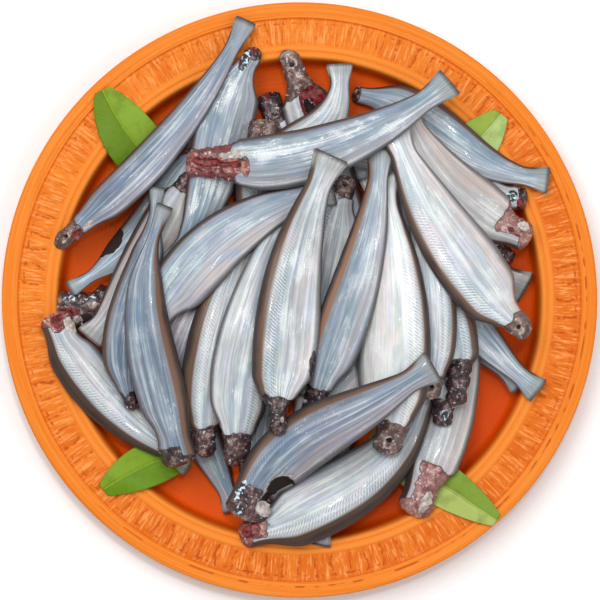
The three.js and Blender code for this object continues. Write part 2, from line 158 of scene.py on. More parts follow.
class Shader:
    """One material and the nodes that make its finish."""

    def __init__(self, name: str) -> None:
        """Starts a material that holds only its output and its main shader."""
        self.material = bpy.data.materials.new(name)
        self.material.use_nodes = True
        self.tree = self.material.node_tree
        self.tree.nodes.clear()
        self.main = self.node("ShaderNodeBsdfPrincipled", {}, {})
        self.node("ShaderNodeOutputMaterial", {}, {"Surface": self.main.outputs[0]})

    def node(
        self, kind: str, settings: dict[str, Any], inputs: dict[Union[str, int], Any]
    ) -> bpy.types.Node:
        """Adds a node.

        Args:
            kind: The node's type.
            settings: Its properties, and "stops" for the places and colours of a ramp.
            inputs: A value or a link for each of its sockets that is used.

        Returns:
            The new node.
        """
        node = self.tree.nodes.new(kind)
        for key, value in settings.items():
            if key == "stops":
                elements = node.color_ramp.elements
                for _ in range(len(value) - len(elements)):
                    elements.new(1.0)
                for element, (place, colour) in zip(elements, value):
                    element.position = place
                    element.color = (*colour, 1.0)
            else:
                setattr(node, key, value)
        for key, value in inputs.items():
            self.feed(node.inputs[key], value)
        return node

    def feed(self, socket: bpy.types.NodeSocket, value: Any) -> None:
        """Links a socket, or sets it where the value is plain.

        Args:
            socket: The socket of a node.
            value: A link, a number or a colour.
        """
        if isinstance(value, Value):
            self.tree.links.new(value.socket, socket)
        elif isinstance(value, bpy.types.NodeSocket):
            self.tree.links.new(value, socket)
        elif socket.type == "RGBA":
            socket.default_value = (*value, 1.0)
        else:
            socket.default_value = value

    def sum(self, operation: str, *values: Number) -> Value:
        """Adds a Math node."""
        node = self.node("ShaderNodeMath", {"operation": operation}, dict(enumerate(values)))
        return Value(self, node.outputs[0])

    def set(self, **inputs: Any) -> None:
        """Feeds the main shader's sockets, named with _ for a space."""
        for key, value in inputs.items():
            self.feed(self.main.inputs[key.replace("_", " ")], value)

    def step(self, value: Number, low: float, high: float) -> Value:
        """Turns a value into a smooth step.

        Args:
            value: The value.
            low: Where the step is 0.
            high: Where it is 1, which may be the smaller of the two.

        Returns:
            The step, from 0 to 1.
        """
        settings = {"interpolation_type": "SMOOTHSTEP"}
        inputs = {"Value": value, "From Min": low, "From Max": high}
        return Value(self, self.node("ShaderNodeMapRange", settings, inputs).outputs[0])

    def parts(self, vector: bpy.types.NodeSocket) -> tuple[Value, ...]:
        """Splits a vector into its three numbers."""
        node = self.node("ShaderNodeSeparateXYZ", {}, {0: vector})
        return tuple(Value(self, socket) for socket in node.outputs)

    def attribute(self, name: str) -> tuple[Value, ...]:
        """Reads a mesh attribute as its three parts and its fourth, alpha."""
        node = self.node("ShaderNodeAttribute", {"attribute_name": name}, {})
        return *self.parts(node.outputs["Vector"]), Value(self, node.outputs["Alpha"])

    def place(self) -> tuple[Value, ...]:
        """The place on the object, in metres."""
        node = self.node("ShaderNodeTexCoord", {}, {})
        return self.parts(node.outputs["Object"])

    def noise(self, x: Number, y: Number, z: Number, detail: float = 2.0) -> Value:
        """Makes smooth random values round 0.5.

        Args:
            x: The first part of the place where they are read.
            y: Its second part.
            z: Its third part.
            detail: How many finer layers lie over the coarse one.

        Returns:
            The value at that place.
        """
        vector = self.node("ShaderNodeCombineXYZ", {}, {0: x, 1: y, 2: z})
        inputs = {"Vector": vector.outputs[0], "Scale": 1.0, "Detail": detail, "Roughness": 0.55}
        return Value(self, self.node("ShaderNodeTexNoise", {}, inputs).outputs[0])

    def mix(self, share: Number, first: Any, second: Any) -> bpy.types.NodeSocket:
        """Mixes two colours: the second's share goes from 0 to 1."""
        inputs = {0: share, 6: first, 7: second}
        return self.node("ShaderNodeMix", {"data_type": "RGBA"}, inputs).outputs[2]

    def wash(
        self, base: Any, tint: Any, value: Value, span: tuple[float, float], share: Number = 1.0
    ) -> bpy.types.NodeSocket:
        """Lays a tint over a colour where a value has passed a span.

        Args:
            base: The colour underneath.
            tint: The colour on top.
            value: What decides where the tint shows.
            span: The value at which the tint starts, and the one at which it is full.
            share: How much of the tint shows where it is full.

        Returns:
            The new colour.
        """
        cover = self.step(value, *span)
        return self.mix(cover if share == 1.0 else cover * share, base, tint)

    def bump(self, height: Value, depth: float) -> bpy.types.NodeSocket:
        """Turns a height from 0 to 1 into relief that many metres deep."""
        node = self.node("ShaderNodeBump", {}, {"Distance": depth, "Height": height})
        return node.outputs[0]


@dataclass(frozen=True)
class Pattern:
    """A random pattern: how fast it changes along and across, its shift, detail and seed's step."""

    along: float
    across: float
    shift: float = 0.0
    detail: float = 2.0
    stride: float = 1.0

    def over(self, along: Value, across: Value, seed: float = 0.0) -> Value:
        """Spreads the pattern over two measures of a surface."""
        depth = seed * self.stride + self.shift
        return along.shader.noise(along * self.along, across * self.across, depth, self.detail)


LANES = Pattern(0.018, 4.2)
LINES = Pattern(0.035, 15.0, 9.0, 3.0)
PATCH = Pattern(0.07, 1.3, 20.0, 3.0)
GRAIN = Pattern(0.55, 0.55, 31.0, 4.0)
TINT = Pattern(0.045, 1.7, 3.0, 3.0, 40.0)
FILM = Pattern(0.05, 4.6, 11.0, 3.0, 30.0)
DASHES = Pattern(0.42, 17.0, 7.0, 2.0, 60.0)
GAPS = Pattern(0.34, 0.7, 0.0, 2.0, 50.0)
MEAT_LUMPS = Pattern(0.24, 0.24, 43.0)
MEAT_SEAMS = Pattern(1.3, 1.3, 51.0)
# spots of painted wet glints on the flesh
WET_GLINT_SPOTS = Pattern(0.5, 0.5, 61.0, 3.0)
WELL_CLOUD = Pattern(22.0, 22.0, 0.0, 3.0)
LEAF_MOTTLE = Pattern(0.12, 0.12, 3.0, 3.0)
LEAF_CELLS = Pattern(0.9, 0.9, 8.0)
FLOOR_GRAIN = Pattern(40.0, 40.0)


class Tone(Enum):
    """The skins that the fish come in: flank, pale streaks, belly and back."""

    BLUE = ((0.18, 0.25, 0.32), (0.39, 0.49, 0.55), (0.52, 0.45, 0.44), (0.14, 0.075, 0.05))
    STEEL = ((0.125, 0.175, 0.24), (0.30, 0.38, 0.46), (0.40, 0.34, 0.36), (0.15, 0.08, 0.05))
    SILVER = ((0.31, 0.37, 0.41), (0.65, 0.71, 0.73), (0.57, 0.50, 0.48), (0.15, 0.085, 0.055))
    PEARL = ((0.38, 0.45, 0.49), (0.74, 0.81, 0.83), (0.62, 0.54, 0.51), (0.15, 0.085, 0.055))
    WHITE = ((0.54, 0.59, 0.61), (0.91, 0.94, 0.92), (0.68, 0.61, 0.57), (0.15, 0.085, 0.055))
    TAN = ((0.34, 0.35, 0.36), (0.55, 0.54, 0.52), (0.54, 0.45, 0.40), (0.08, 0.05, 0.04))
    VIOLET = ((0.23, 0.22, 0.27), (0.37, 0.36, 0.41), (0.37, 0.28, 0.30), (0.17, 0.085, 0.055))


class Flesh(Enum):
    """The colours of a cut end: main, light and dark."""

    TAN = ((0.25, 0.155, 0.13), (0.50, 0.38, 0.32), (0.09, 0.047, 0.045))
    BROWN = ((0.145, 0.075, 0.072), (0.40, 0.28, 0.255), (0.035, 0.018, 0.022))
    RED = ((0.33, 0.105, 0.092), (0.52, 0.27, 0.22), (0.14, 0.024, 0.024))
    DARK = ((0.07, 0.033, 0.038), (0.26, 0.18, 0.175), (0.015, 0.008, 0.012))
    PINK = ((0.42, 0.20, 0.18), (0.56, 0.37, 0.33), (0.20, 0.07, 0.065))


BLOOD = (0.09, 0.008, 0.010)
BLOOD_BRIGHT = (0.27, 0.035, 0.032)
PALE_TISSUE = (0.36, 0.27, 0.24)
TISSUE_BRIGHT = (0.64, 0.59, 0.54)
# near-black lining of cavities and holes, also used for one patch of painted shadow
LINING = (0.018, 0.010, 0.009)
# pale silver of the skin's fine lines and ticks, and of the painted highlight
SILVER_LINE_AND_HIGHLIGHT = (0.84, 0.88, 0.87)
HATCH = (0.17, 0.21, 0.26)
SEAM = (0.045, 0.028, 0.028)
EDGE_SHADE = (0.05, 0.042, 0.045)
RUST = (0.27, 0.17, 0.13)
ROSE = (1.32, 0.98, 1.00)
SKY = (0.76, 0.94, 1.18)
LILAC = (1.12, 0.98, 1.20)
MINT = (1.08, 1.10, 0.94)
# painted highlight: pale glints on the wet flesh
PAINTED_WET_GLINT = (0.62, 0.68, 0.72)
# painted glint: the white of short highlights on the wet skin
PAINTED_GLINT = (0.93, 0.96, 0.97)
TAIL_GREY = (0.25, 0.26, 0.24)
SPARK_LIGHT = (0.66, 0.78, 0.86)
SPARK_DARK = (0.03, 0.035, 0.045)


EDGE_WANDER = 0.14
RAGGEDNESS = 0.7
PALE_SHARE = 0.6
BELLY_SPAN = (0.15, -0.75)
THREAD_RATE, THREAD_SWAY = 23.0, 12.0
HAIR_RATE, HAIR_SWAY = 52.0, 21.0
SCALE_RATE, KNIT_LEAN, TICK_LEAN = 4.4, 2.6, 3.2
HATCH_START, HATCH_END = (6.0, 20.0), (0.86, 0.5)
TAIL_SPAN, STUMP_SPAN = (0.925, 0.965), (0.978, 0.995)


@dataclass(frozen=True)
class Ground:
    """What the finish of one skin is worked out from: its measures and its random patterns.

    The place wander is the place across with an uneven edge, and edge is where the back begins.
    """

    shader: Shader
    length: float
    seed: float
    edge: float
    along: Value
    aside: Value
    across: Value
    wander: Value
    lanes: Value
    lines: Value
    patch: Value
    grain: Value
    film: Value


@dataclass(frozen=True)
class SkinFinish:
    """The wet skin of one fish: a dark back, a hatched strip beside it and a streaked flank with
    painted highlights.
    """

    tone: Tone = Tone.SILVER
    flesh: Flesh = Flesh.BROWN
    band: float = 0.12
    dark: float = 0.2
    hatch: float = 0.5
    # gleam: how strong the painted highlight and glints are
    gleam: float = 0.5
    rosy: float = 0.4
    relief: float = 0.0005

    def material(self, name: str, length: float, seed: float) -> bpy.types.Material:
        """Builds the finish of one fish.

        Args:
            name: The material's name.
            length: The fish's length in millimetres.
            seed: Moves the random streaks.

        Returns:
            The material, which reads the mesh's attributes skin and marks.
        """
        shader = Shader(name)
        along, aside, across, painted_sparkle_mask = shader.attribute("skin")
        cut, blood, white, lining_and_shadow = shader.attribute("marks")
        lanes, lines, patch = (
            pattern.over(along, across, seed) for pattern in (LANES, LINES, PATCH)
        )
        grain, film = GRAIN.over(along, aside, seed), FILM.over(along, across, self.band)
        ground = Ground(
            shader, length, seed, 1.0 - 2.0 * self.band, along, aside, across,
            across + (lanes - 0.5) * EDGE_WANDER, lanes, lines, patch, grain, film,
        )
        colour = self.paint_highlights(ground, self.flank(ground))
        colour, ticks = self.hatching(ground, colour)
        colour, banded = self.ridge(ground, colour)
        colour = self.tail(ground, colour)

        ragged = (grain - 0.5) * RAGGEDNESS
        raw = shader.step(cut + ragged, 0.42, 0.58)
        clot = shader.wash(BLOOD, BLOOD_BRIGHT, grain, (0.42, 0.6))
        tissue = shader.wash(PALE_TISSUE, TISSUE_BRIGHT, grain, (0.40, 0.6))
        # painted glints: light specks over dark where the sparkle marks lie
        glint = shader.wash(SPARK_DARK, SPARK_LIGHT, grain, (0.5, 0.6))
        colour = shader.mix(raw, colour, self.meat(ground))
        colour = shader.wash(colour, SEAM, abs(cut + ragged - 0.44), (0.2, 0.04), 0.8)
        colour = shader.wash(colour, clot, blood + ragged, (0.35, 0.65))
        colour = shader.wash(colour, tissue, white + ragged * 1.4, (0.35, 0.7), 0.85)
        # near-black lining, and at one mark painted shadow
        colour = shader.wash(colour, LINING, lining_and_shadow + ragged, (0.4, 0.6))
        colour = shader.wash(colour, glint, painted_sparkle_mask + ragged, (0.4, 0.6))
        shader.set(
            Base_Color=colour,
            Roughness=0.26 + 0.2 * lanes + 0.35 * lining_and_shadow - 0.1 * raw,
            Specular_IOR_Level=0.3,
            Coat_Weight=0.16 + 0.3 * raw - 0.4 * lining_and_shadow - 0.08 * banded,
            Coat_Roughness=0.07,
            Normal=shader.bump(grain * raw * 1.8 + lines * 0.4 + ticks * 0.06, self.relief),
        )
        return shader.material

    def flank(self, ground: Ground) -> bpy.types.NodeSocket:
        """Colours the flank: pale streaks, a warm belly, four faint tints and long fine lines.

        Args:
            ground: The skin's measures and patterns.

        Returns:
            The colour.
        """
        shader, across, lanes, lines = ground.shader, ground.across, ground.lanes, ground.lines
        flank, pale, belly, _ = self.tone.value
        uneven = ground.patch - 0.5
        light = shader.step(lanes + (lines - 0.5) * 0.5 + uneven * 0.4, 0.35, 0.65)
        light = light * (1.0 - 0.6 * shader.step(across, ground.edge - 0.5, ground.edge))
        colour = shader.mix(light, flank, pale)
        warmth = self.rosy * (0.55 + 0.9 * lines)
        colour = shader.wash(colour, belly, across + uneven * 0.9, BELLY_SPAN, warmth)
        middle = tuple(
            (1.0 - PALE_SHARE) * dull + PALE_SHARE * bright for dull, bright in zip(flank, pale)
        )
        tint = TINT.over(ground.along, across, self.band)
        for hue, pattern, span, share in (
            (ROSE, tint, (0.5, 0.66), 0.3 + 0.4 * self.rosy),
            (SKY, tint, (0.47, 0.32), 0.5),
            (LILAC, ground.film, (0.52, 0.64), 0.5),
            (MINT, ground.film, (0.46, 0.34), 0.45),
        ):
            tinted = tuple(factor * part for factor, part in zip(hue, middle))
            colour = shader.wash(colour, tinted, pattern, span, share)
        threads = shader.sum("SINE", across * THREAD_RATE + lanes * THREAD_SWAY)
        colour = shader.wash(colour, SILVER_LINE_AND_HIGHLIGHT, threads, (0.5, 1.0), light * 0.4)
        colour = shader.wash(colour, flank, threads, (-0.6, -1.0), 0.5)
        hairs = shader.sum("SINE", across * HAIR_RATE + lanes * HAIR_SWAY)
        return shader.wash(colour, flank, hairs, (-0.5, -1.0), 0.22)

    def paint_highlights(self, ground: Ground, colour: bpy.types.NodeSocket) -> bpy.types.NodeSocket:
        """Paints the broad highlight of the flank and its short white glints into the colour.

        Args:
            ground: The skin's measures and patterns.
            colour: The skin's colour so far.

        Returns:
            The new colour.
        """
        shader, across, patch = ground.shader, ground.across, ground.patch
        sheen = patch + (ground.lines - 0.5) * 0.7 + (ground.lanes - 0.5) * 0.4
        inside = shader.step(across, ground.edge + 0.02, ground.edge - 0.35)
        inside = inside * shader.step(across, -0.95, -0.45)
        waves = ground.along * SCALE_RATE + ground.aside * KNIT_LEAN + ground.film * 9.0
        knit = shader.sum("SINE", waves)
        share = inside * (0.85 + 0.15 * knit) * (self.gleam * 0.85)
        # painted highlight: a broad pale sheen laid into the flank's colour
        colour = shader.wash(colour, SILVER_LINE_AND_HIGHLIGHT, sheen, (0.48, 0.72), share)
        dashes = DASHES.over(ground.along, across, self.band)
        sparse = shader.step(patch, 0.48, 0.6) * (0.3 + 0.6 * self.gleam)
        # painted glints: sparse short white dashes
        return shader.wash(colour, PAINTED_GLINT, dashes, (0.60, 0.68), sparse)

    def hatching(
        self, ground: Ground, colour: bpy.types.NodeSocket
    ) -> tuple[bpy.types.NodeSocket, Value]:
        """Adds the strip of small broken ticks beside the back.

        Args:
            ground: The skin's measures and patterns.
            colour: The skin's colour so far.

        Returns:
            The new colour, and the ticks.
        """
        shader, along, aside, wander = ground.shader, ground.along, ground.aside, ground.wander
        edge, length = ground.edge, ground.length
        reach = shader.step(wander, edge - 0.58, edge - 0.3)
        reach = reach * shader.step(wander, edge + 0.06, edge - 0.06)
        front = shader.step(along, *(place * length for place in HATCH_END))
        front = front * shader.step(along, *HATCH_START)
        waves = along * SCALE_RATE - aside * TICK_LEAN + ground.lines * 2.5 + ground.film * 8.0
        ticks = shader.sum("SINE", waves)
        kept = shader.step(GAPS.over(along, aside, self.band), 0.38, 0.56)
        hatched = reach * front * self.hatch * kept
        colour = shader.wash(colour, HATCH, ticks, (0.1, -0.8), hatched * 0.5)
        colour = shader.wash(colour, SILVER_LINE_AND_HIGHLIGHT, ticks, (0.2, 0.9), hatched * 0.65)
        return colour, ticks * hatched

    def ridge(
        self, ground: Ground, colour: bpy.types.NodeSocket
    ) -> tuple[bpy.types.NodeSocket, Value]:
        """Adds the rusty zone beside the back, the brown back and the shade of both edges.

        Args:
            ground: The skin's measures and patterns.
            colour: The skin's colour so far.

        Returns:
            The new colour, and where the back is.
        """
        shader, edge, wander, lines = ground.shader, ground.edge, ground.wander, ground.lines
        back = self.tone.value[-1]
        rusty = wander + (lines - 0.5) * 0.4
        colour = shader.wash(colour, RUST, rusty, (edge - 0.2, edge + 0.04), 0.4)
        banded = shader.step(wander, edge - 0.05, edge + 0.06)
        rough = wander + (ground.patch - 0.5) * 0.4 + (lines - 0.5) * 0.3
        dim = tuple(part * (0.26 - 0.16 * self.dark) for part in back)
        brown = tuple(part * (1.15 - 0.75 * self.dark) for part in back)
        brown = shader.wash(brown, dim, rough, (edge + 0.6 * self.band, 1.0))
        colour = shader.mix(banded, colour, brown)
        return shader.wash(colour, EDGE_SHADE, abs(ground.across), (0.76, 0.97), 0.85), banded

    def tail(self, ground: Ground, colour: bpy.types.NodeSocket) -> bpy.types.NodeSocket:
        """Greys the tail, with pale rays, and darkens its cut.

        Args:
            ground: The skin's measures and patterns.
            colour: The skin's colour so far.

        Returns:
            The new colour.
        """
        shader, along, lines, length = ground.shader, ground.along, ground.lines, ground.length
        grey = shader.wash(TAIL_GREY, self.tone.value[1], lines, (0.42, 0.6), 0.45)
        start = along + (lines - 0.5) * 0.06 * length
        fin, stump = (tuple(place * length for place in span) for span in (TAIL_SPAN, STUMP_SPAN))
        colour = shader.wash(colour, grey, start, fin, 0.7)
        return shader.wash(colour, SEAM, along, stump, 0.75)

    def meat(self, ground: Ground) -> bpy.types.NodeSocket:
        """Colours the cut flesh, with its own lighter and darker lumps and painted highlights of wet
        glints.

        Args:
            ground: The skin's measures and patterns.

        Returns:
            The colour.
        """
        shader, along, aside, seed = ground.shader, ground.along, ground.aside, ground.seed
        main, bright, shade = self.flesh.value
        coarse = MEAT_LUMPS.over(along, aside, seed)
        uneven = coarse - 0.5
        meat = shader.wash(main, shade, coarse, (0.58, 0.36))
        meat = shader.wash(meat, SEAM, MEAT_SEAMS.over(along, aside, seed), (0.54, 0.42), 0.3)
        meat = shader.wash(meat, bright, ground.grain + uneven * 0.8, (0.50, 0.68), 0.9)
        meat = shader.wash(meat, shade, abs(ground.across) + uneven * 1.2, (0.45, 0.9), 0.85)
        # painted highlight: pale wet glints in small spots
        return shader.wash(meat, PAINTED_WET_GLINT, WET_GLINT_SPOTS.over(along, aside, seed), (0.60, 0.70), 0.85)


@dataclass(frozen=True)
class PlateFinish:
    """Satin moulded plastic: deep orange in the well, paler and scratched on the rim.

    The scratches and the rings are given as how fast they change round the plate, how fast they
    change outwards, and their detail.
    """

    well: Colour = (0.74, 0.094, 0.002)
    # darker well colour, for random clouds and painted shade
    well_mottle_and_shade: Colour = (0.74, 0.078, 0.001)
    bead: Colour = (0.86, 0.255, 0.033)
    panel: Colour = (0.84, 0.23, 0.024)
    panel_deep: Colour = (0.68, 0.125, 0.006)
    outer: Colour = (0.80, 0.20, 0.014)
    worn: Colour = (0.92, 0.36, 0.10)
    groove: Colour = (0.46, 0.062, 0.004)
    lip_radius: float = 105.0
    bead_radius: float = 111.3
    outer_radius: float = 123.2
    scratches: tuple[float, float, float] = (130.0, 0.16, 4.0)
    rings: tuple[float, float, float] = (2.5, 1.6, 3.0)
    relief: float = 0.0006

    def material(self) -> bpy.types.Material:
        """Builds the plate's material, which reads the mesh's attribute relief.

        Returns:
            The material.
        """
        shader = Shader("orange_plate")
        x, y, _ = shader.place()
        radius = shader.sum("SQRT", x * x + y * y) * (1.0 / MM)
        turn_x, turn_y = (
            shader.sum("DIVIDE", part, radius + 0.001) * (1.0 / MM) for part in (x, y)
        )
        scratch, rings = (
            shader.noise(turn_x * around, turn_y * around, radius * outwards, detail)
            for around, outwards, detail in (self.scratches, self.rings)
        )
        groove, worn, panel, _ = shader.attribute("relief")
        # the panel's lightness carries a random tone and painted light towards the upper left
        flute = shader.mix(panel, self.panel_deep, self.panel)
        flute = shader.wash(flute, self.worn, scratch, (0.5, 0.62), 0.25 + 0.55 * worn)
        flute = shader.wash(flute, self.panel_deep, scratch, (0.44, 0.34), 0.7)
        flute = shader.wash(flute, self.groove, scratch, (0.35, 0.27), 0.6)
        outer = shader.wash(self.outer, self.bead, rings, (0.4, 0.62))
        # painted shade: the well darkens towards the lower right, over random clouds
        shaded = WELL_CLOUD.over(x, y) + x * 1.6 - y * 1.6
        colour = shader.wash(self.well, self.well_mottle_and_shade, shaded, (0.4, 0.75))
        for place, soft, tint in (
            (self.lip_radius, 0.8, self.bead),
            (self.bead_radius, 0.3, flute),
            (self.outer_radius, 0.3, outer),
        ):
            colour = shader.wash(colour, tint, radius, (place - soft, place + soft))
        grooved = groove + (scratch - 0.5) * 0.4
        shader.set(
            Base_Color=shader.wash(colour, self.groove, grooved, (0.25, 0.85), 0.8),
            Roughness=0.40 + rings * 0.2,
            Specular_IOR_Level=0.1,
            Normal=shader.bump(scratch * 0.6 * (worn + 0.1) + rings * 0.35, self.relief),
        )
        return shader.material


VEIN_SLANT = 0.9
VEIN_RATE = 1.25


@dataclass(frozen=True)
class LeafFinish:
    """A fresh leaf: one half darker than the other, with a pale midrib and faint side veins."""

    dark: Colour = (0.12, 0.22, 0.003)
    light: Colour = (0.21, 0.34, 0.018)
    vein: Colour = (0.34, 0.45, 0.06)
    relief: float = 0.0004

    def material(self, name: str) -> bpy.types.Material:
        """Builds one leaf's material.

        Args:
            name: The material's name.

        Returns:
            The material, which reads the mesh's attribute skin.
        """
        shader = Shader(name)
        along, aside, across, _ = shader.attribute("skin")
        mottle, cells = LEAF_MOTTLE.over(along, aside), LEAF_CELLS.over(along, aside)
        side = across + (mottle - 0.5) * 0.2
        colour = shader.wash(self.light, self.dark, side, (-0.04, 0.1))
        shaded = tuple(part * 0.6 for part in self.dark)
        colour = shader.wash(colour, shaded, mottle, (0.52, 0.3), 0.5)
        veins = shader.sum("SINE", (along - abs(aside) * VEIN_SLANT) * VEIN_RATE)
        faint = shader.step(veins, 0.85, 1.0) * 0.05 + shader.step(cells, 0.5, 0.7) * 0.08
        colour = shader.mix(faint, colour, self.vein)
        rib = shader.step(abs(aside), 0.6, 0.15)
        shader.set(
            Base_Color=shader.mix(rib * 0.3, colour, self.vein),
            Roughness=0.5,
            Specular_IOR_Level=0.2,
            Normal=shader.bump(rib + mottle * 0.4 + cells * 0.1, self.relief),
        )
        return shader.material


# Pieces


def grown_mesh(name: str, form: bmesh.types.BMesh) -> bpy.types.Object:
    """Makes an object of a bmesh and frees it.

    Args:
        name: The name of the object and of its mesh.
        form: The bmesh.

    Returns:
        The object, which is in the scene.
    """
    mesh = bpy.data.meshes.new(name)
    form.to_mesh(mesh)
    form.free()
    piece = bpy.data.objects.new(name, mesh)
    bpy.context.scene.collection.objects.link(piece)
    return piece


def read_points(mesh: bpy.types.Mesh) -> np.ndarray:
    """Reads a mesh's vertices.

    Args:
        mesh: The mesh.

    Returns:
        A row for each vertex.
    """
    points = np.empty(len(mesh.vertices) * 3)
    mesh.vertices.foreach_get("co", points)
    return points.reshape(-1, 3)


def write_points(mesh: bpy.types.Mesh, points: np.ndarray) -> None:
    """Moves a mesh's vertices, and shades it smooth.

    Args:
        mesh: The mesh.
        points: A row for each vertex, in millimetres.
    """
    mesh.vertices.foreach_set("co", (points * MM).ravel())
    mesh.polygons.foreach_set("use_smooth", [True] * len(mesh.polygons))
    mesh.update()


def write_attribute(mesh: bpy.types.Mesh, name: str, parts: list[np.ndarray]) -> None:
    """Keeps values at every vertex, for the material to read.

    Args:
        mesh: The mesh.
        name: The attribute's name.
        parts: Three or four lists of a value for each vertex.
    """
    kind, key = ("FLOAT_COLOR", "color") if len(parts) == 4 else ("FLOAT_VECTOR", "vector")
    attribute = mesh.attributes.new(name, kind, "POINT")
    attribute.data.foreach_set(key, np.column_stack(parts).astype(np.float32).ravel())


@dataclass
class Plate:
    """The round plate: a foot ring, a well, a double bead, a fluted band and a plain outer ring."""

    height: float = 17.0
    well_depth: float = 12.0
    rim_depth: float = 3.0
    rim_thickness: float = 4.2
    turns: int = 960
    wide_edge: float = 4.0
    band_cuts: int = 9
    plain_cuts: int = 3
    flutes: int = 100
    flute_depth: float = 0.45
    flute_wobble: tuple[float, float] = (0.22, 0.10)
    flute_crown: float = 0.3
    flute_roughness: float = 0.12
    flute_fade: float = 1.3
    end_groove: float = 1.9
    band: tuple[float, float] = (111.3, 122.7)
    crack_radius: float = 125.2
    crack_width: float = 0.5
    finish: PlateFinish = PlateFinish()

    def outline(self) -> list[tuple[float, float]]:
        """Draws the section, from the axis under the foot out round the rim to the well.

        Returns:
            The radius and the height of each corner.
        """
        top, floor = self.height, self.height - self.well_depth
        under = top - self.rim_thickness
        return [
            (0.0, 2.0), (85.3, 2.0), (86.0, 0.4), (86.5, 0.0), (89.5, 0.0), (90.0, 0.4),
            (90.7, 2.0), (103.2, 2.7), (107.9, under), (127.0, under), (129.2, under + 0.6),
            (129.9, top - 2.0), (130.0, top - 1.2), (129.6, top - 0.5), (128.8, top - 0.1),
            (127.8, top), (126.4, top - 0.1), (125.6, top - 0.2), (125.2, top - 0.65),
            (124.8, top - 0.2), (124.3, top - 0.25), (124.0, top - 0.7), (123.6, top - 0.3),
            (123.2, top - 0.45), (122.8, top - 1.1), (122.0, top - 1.25), (117.0, top - 1.5),
            (112.0, top - 1.3), (111.3, top - 1.15), (110.9, top - 0.6), (110.2, top - 0.4),
            (109.2, top - 0.45), (108.5, top - 0.8), (108.2, top - 1.3), (107.9, top - 0.8),
            (107.2, top - 0.4), (106.3, top - 0.45), (105.7, top - 1.1), (105.2, top - 2.4),
            (103.8, floor + 3.2), (103.2, floor + 1.4), (102.4, floor + 0.4), (101.0, floor),
            (0.0, floor),
        ]

    def build(self) -> bpy.types.Object:
        """Spins the section, then cuts the flutes into the rim.

        Returns:
            The finished plate.
        """
        form = bmesh.new()
        corners = [form.verts.new((radius, 0.0, height)) for radius, height in self.outline()]
        for first, second in zip(corners, corners[1:]):
            form.edges.new((first, second))
        wide = [edge for edge in form.edges if edge.calc_length() > self.wide_edge]
        low, high = self.band
        upper = self.height - self.rim_depth
        fine = [
            edge for edge in wide
            if all(low < vert.co.x < high and vert.co.z > upper for vert in edge.verts)
        ]
        plain = [edge for edge in wide if edge not in fine]
        bmesh.ops.subdivide_edges(form, edges=fine, cuts=self.band_cuts)
        bmesh.ops.subdivide_edges(form, edges=plain, cuts=self.plain_cuts)
        bmesh.ops.spin(
            form, geom=form.verts[:] + form.edges[:], cent=(0, 0, 0), axis=(0, 0, 1),
            angle=2.0 * math.pi, steps=self.turns, use_merge=True,
        )
        bmesh.ops.remove_doubles(form, verts=form.verts, dist=1e-4)
        bmesh.ops.recalc_face_normals(form, faces=form.faces)
        piece = grown_mesh("orange_plate", form)
        points = read_points(piece.data)
        relief = self.cut_flutes(points)
        write_points(piece.data, points)
        write_attribute(piece.data, "relief", relief)
        piece.data.materials.append(self.finish.material())
        return piece

    def cut_flutes(self, points: np.ndarray) -> list[np.ndarray]:
        """Cuts the uneven panels of the fluted band.

        Args:
            points: The plate's vertices, whose heights are changed.

        Returns:
            How deep in a groove, how worn, and how light each vertex is, from 0 to 1; the lightness
            is a random tone for each panel plus painted light towards the upper left.
        """
        groove, worn, light = (np.zeros(len(points)) for _ in range(3))
        radius = np.hypot(points[:, 0], points[:, 1])
        above = points[:, 2] > self.height - self.rim_depth
        low, high = self.band
        at = np.flatnonzero((radius > low) & (radius < high) & above)
        spot, away = points[at], radius[at]
        angle = np.arctan2(spot[:, 1], spot[:, 0])
        ring = np.column_stack([np.cos(angle), np.sin(angle), away * 0.01])
        ring = ring * (low + high) / 2.0
        slow, quick = self.flute_wobble
        wobble = lumps(ring, 9.0, 1.0) * slow + lumps(spot, 3.5, 2.0) * quick
        phase = angle / (2.0 * math.pi) * self.flutes + wobble
        panel = np.floor(phase)
        border = np.abs(phase - panel - 0.5) * 2.0
        clear = 0.6 + 0.4 * smooth_step(lumps(ring, 45.0, 3.0), -0.25, 0.2)
        cut = smooth_step(border + 0.12 * lumps(spot, 1.6, 6.0), 0.80, 0.98) * clear
        inside = smooth_step(away, low, low + self.flute_fade)
        inside = inside * smooth_step(away, high, high - self.flute_fade)
        end_gap = np.abs(away - (high - self.end_groove))
        ends = (1.0 - smooth_step(end_gap, 0.15, 0.7)) * clear
        specks = smooth_step(lumps(spot, 1.5, 4.0), -0.15, 0.3)
        cut = np.maximum(cut, ends * specks) * inside
        crown = (1.0 - border**2) * self.flute_crown * inside
        rough = lumps(spot, 2.2, 5.0) * self.flute_roughness * inside
        points[at, 2] += crown + rough - cut * self.flute_depth

        crack = np.exp(-(((radius - self.crack_radius) / self.crack_width) ** 2)) * above
        line = np.flatnonzero(crack > 0.05)
        broken = smooth_step(lumps(points[line], 5.0, 7.0), -0.3, 0.25)
        shaded = 0.45 + 0.55 * smooth_step(points[line, 0] - points[line, 1], -60.0, 110.0)
        groove[line] = crack[line] * broken * shaded
        groove[at] = cut
        worn[at] = inside * (1.0 - border**3)
        shade = 0.5 + 0.5 * np.sin(panel * 12.9898) * np.cos(panel * 4.1)
        # painted light: a random tone for each panel, lighter towards the upper left
        light[at] = 0.1 + 0.5 * shade + 0.4 * smooth_step(spot[:, 1] - spot[:, 0], -70.0, 90.0)
        return [groove, worn, light]


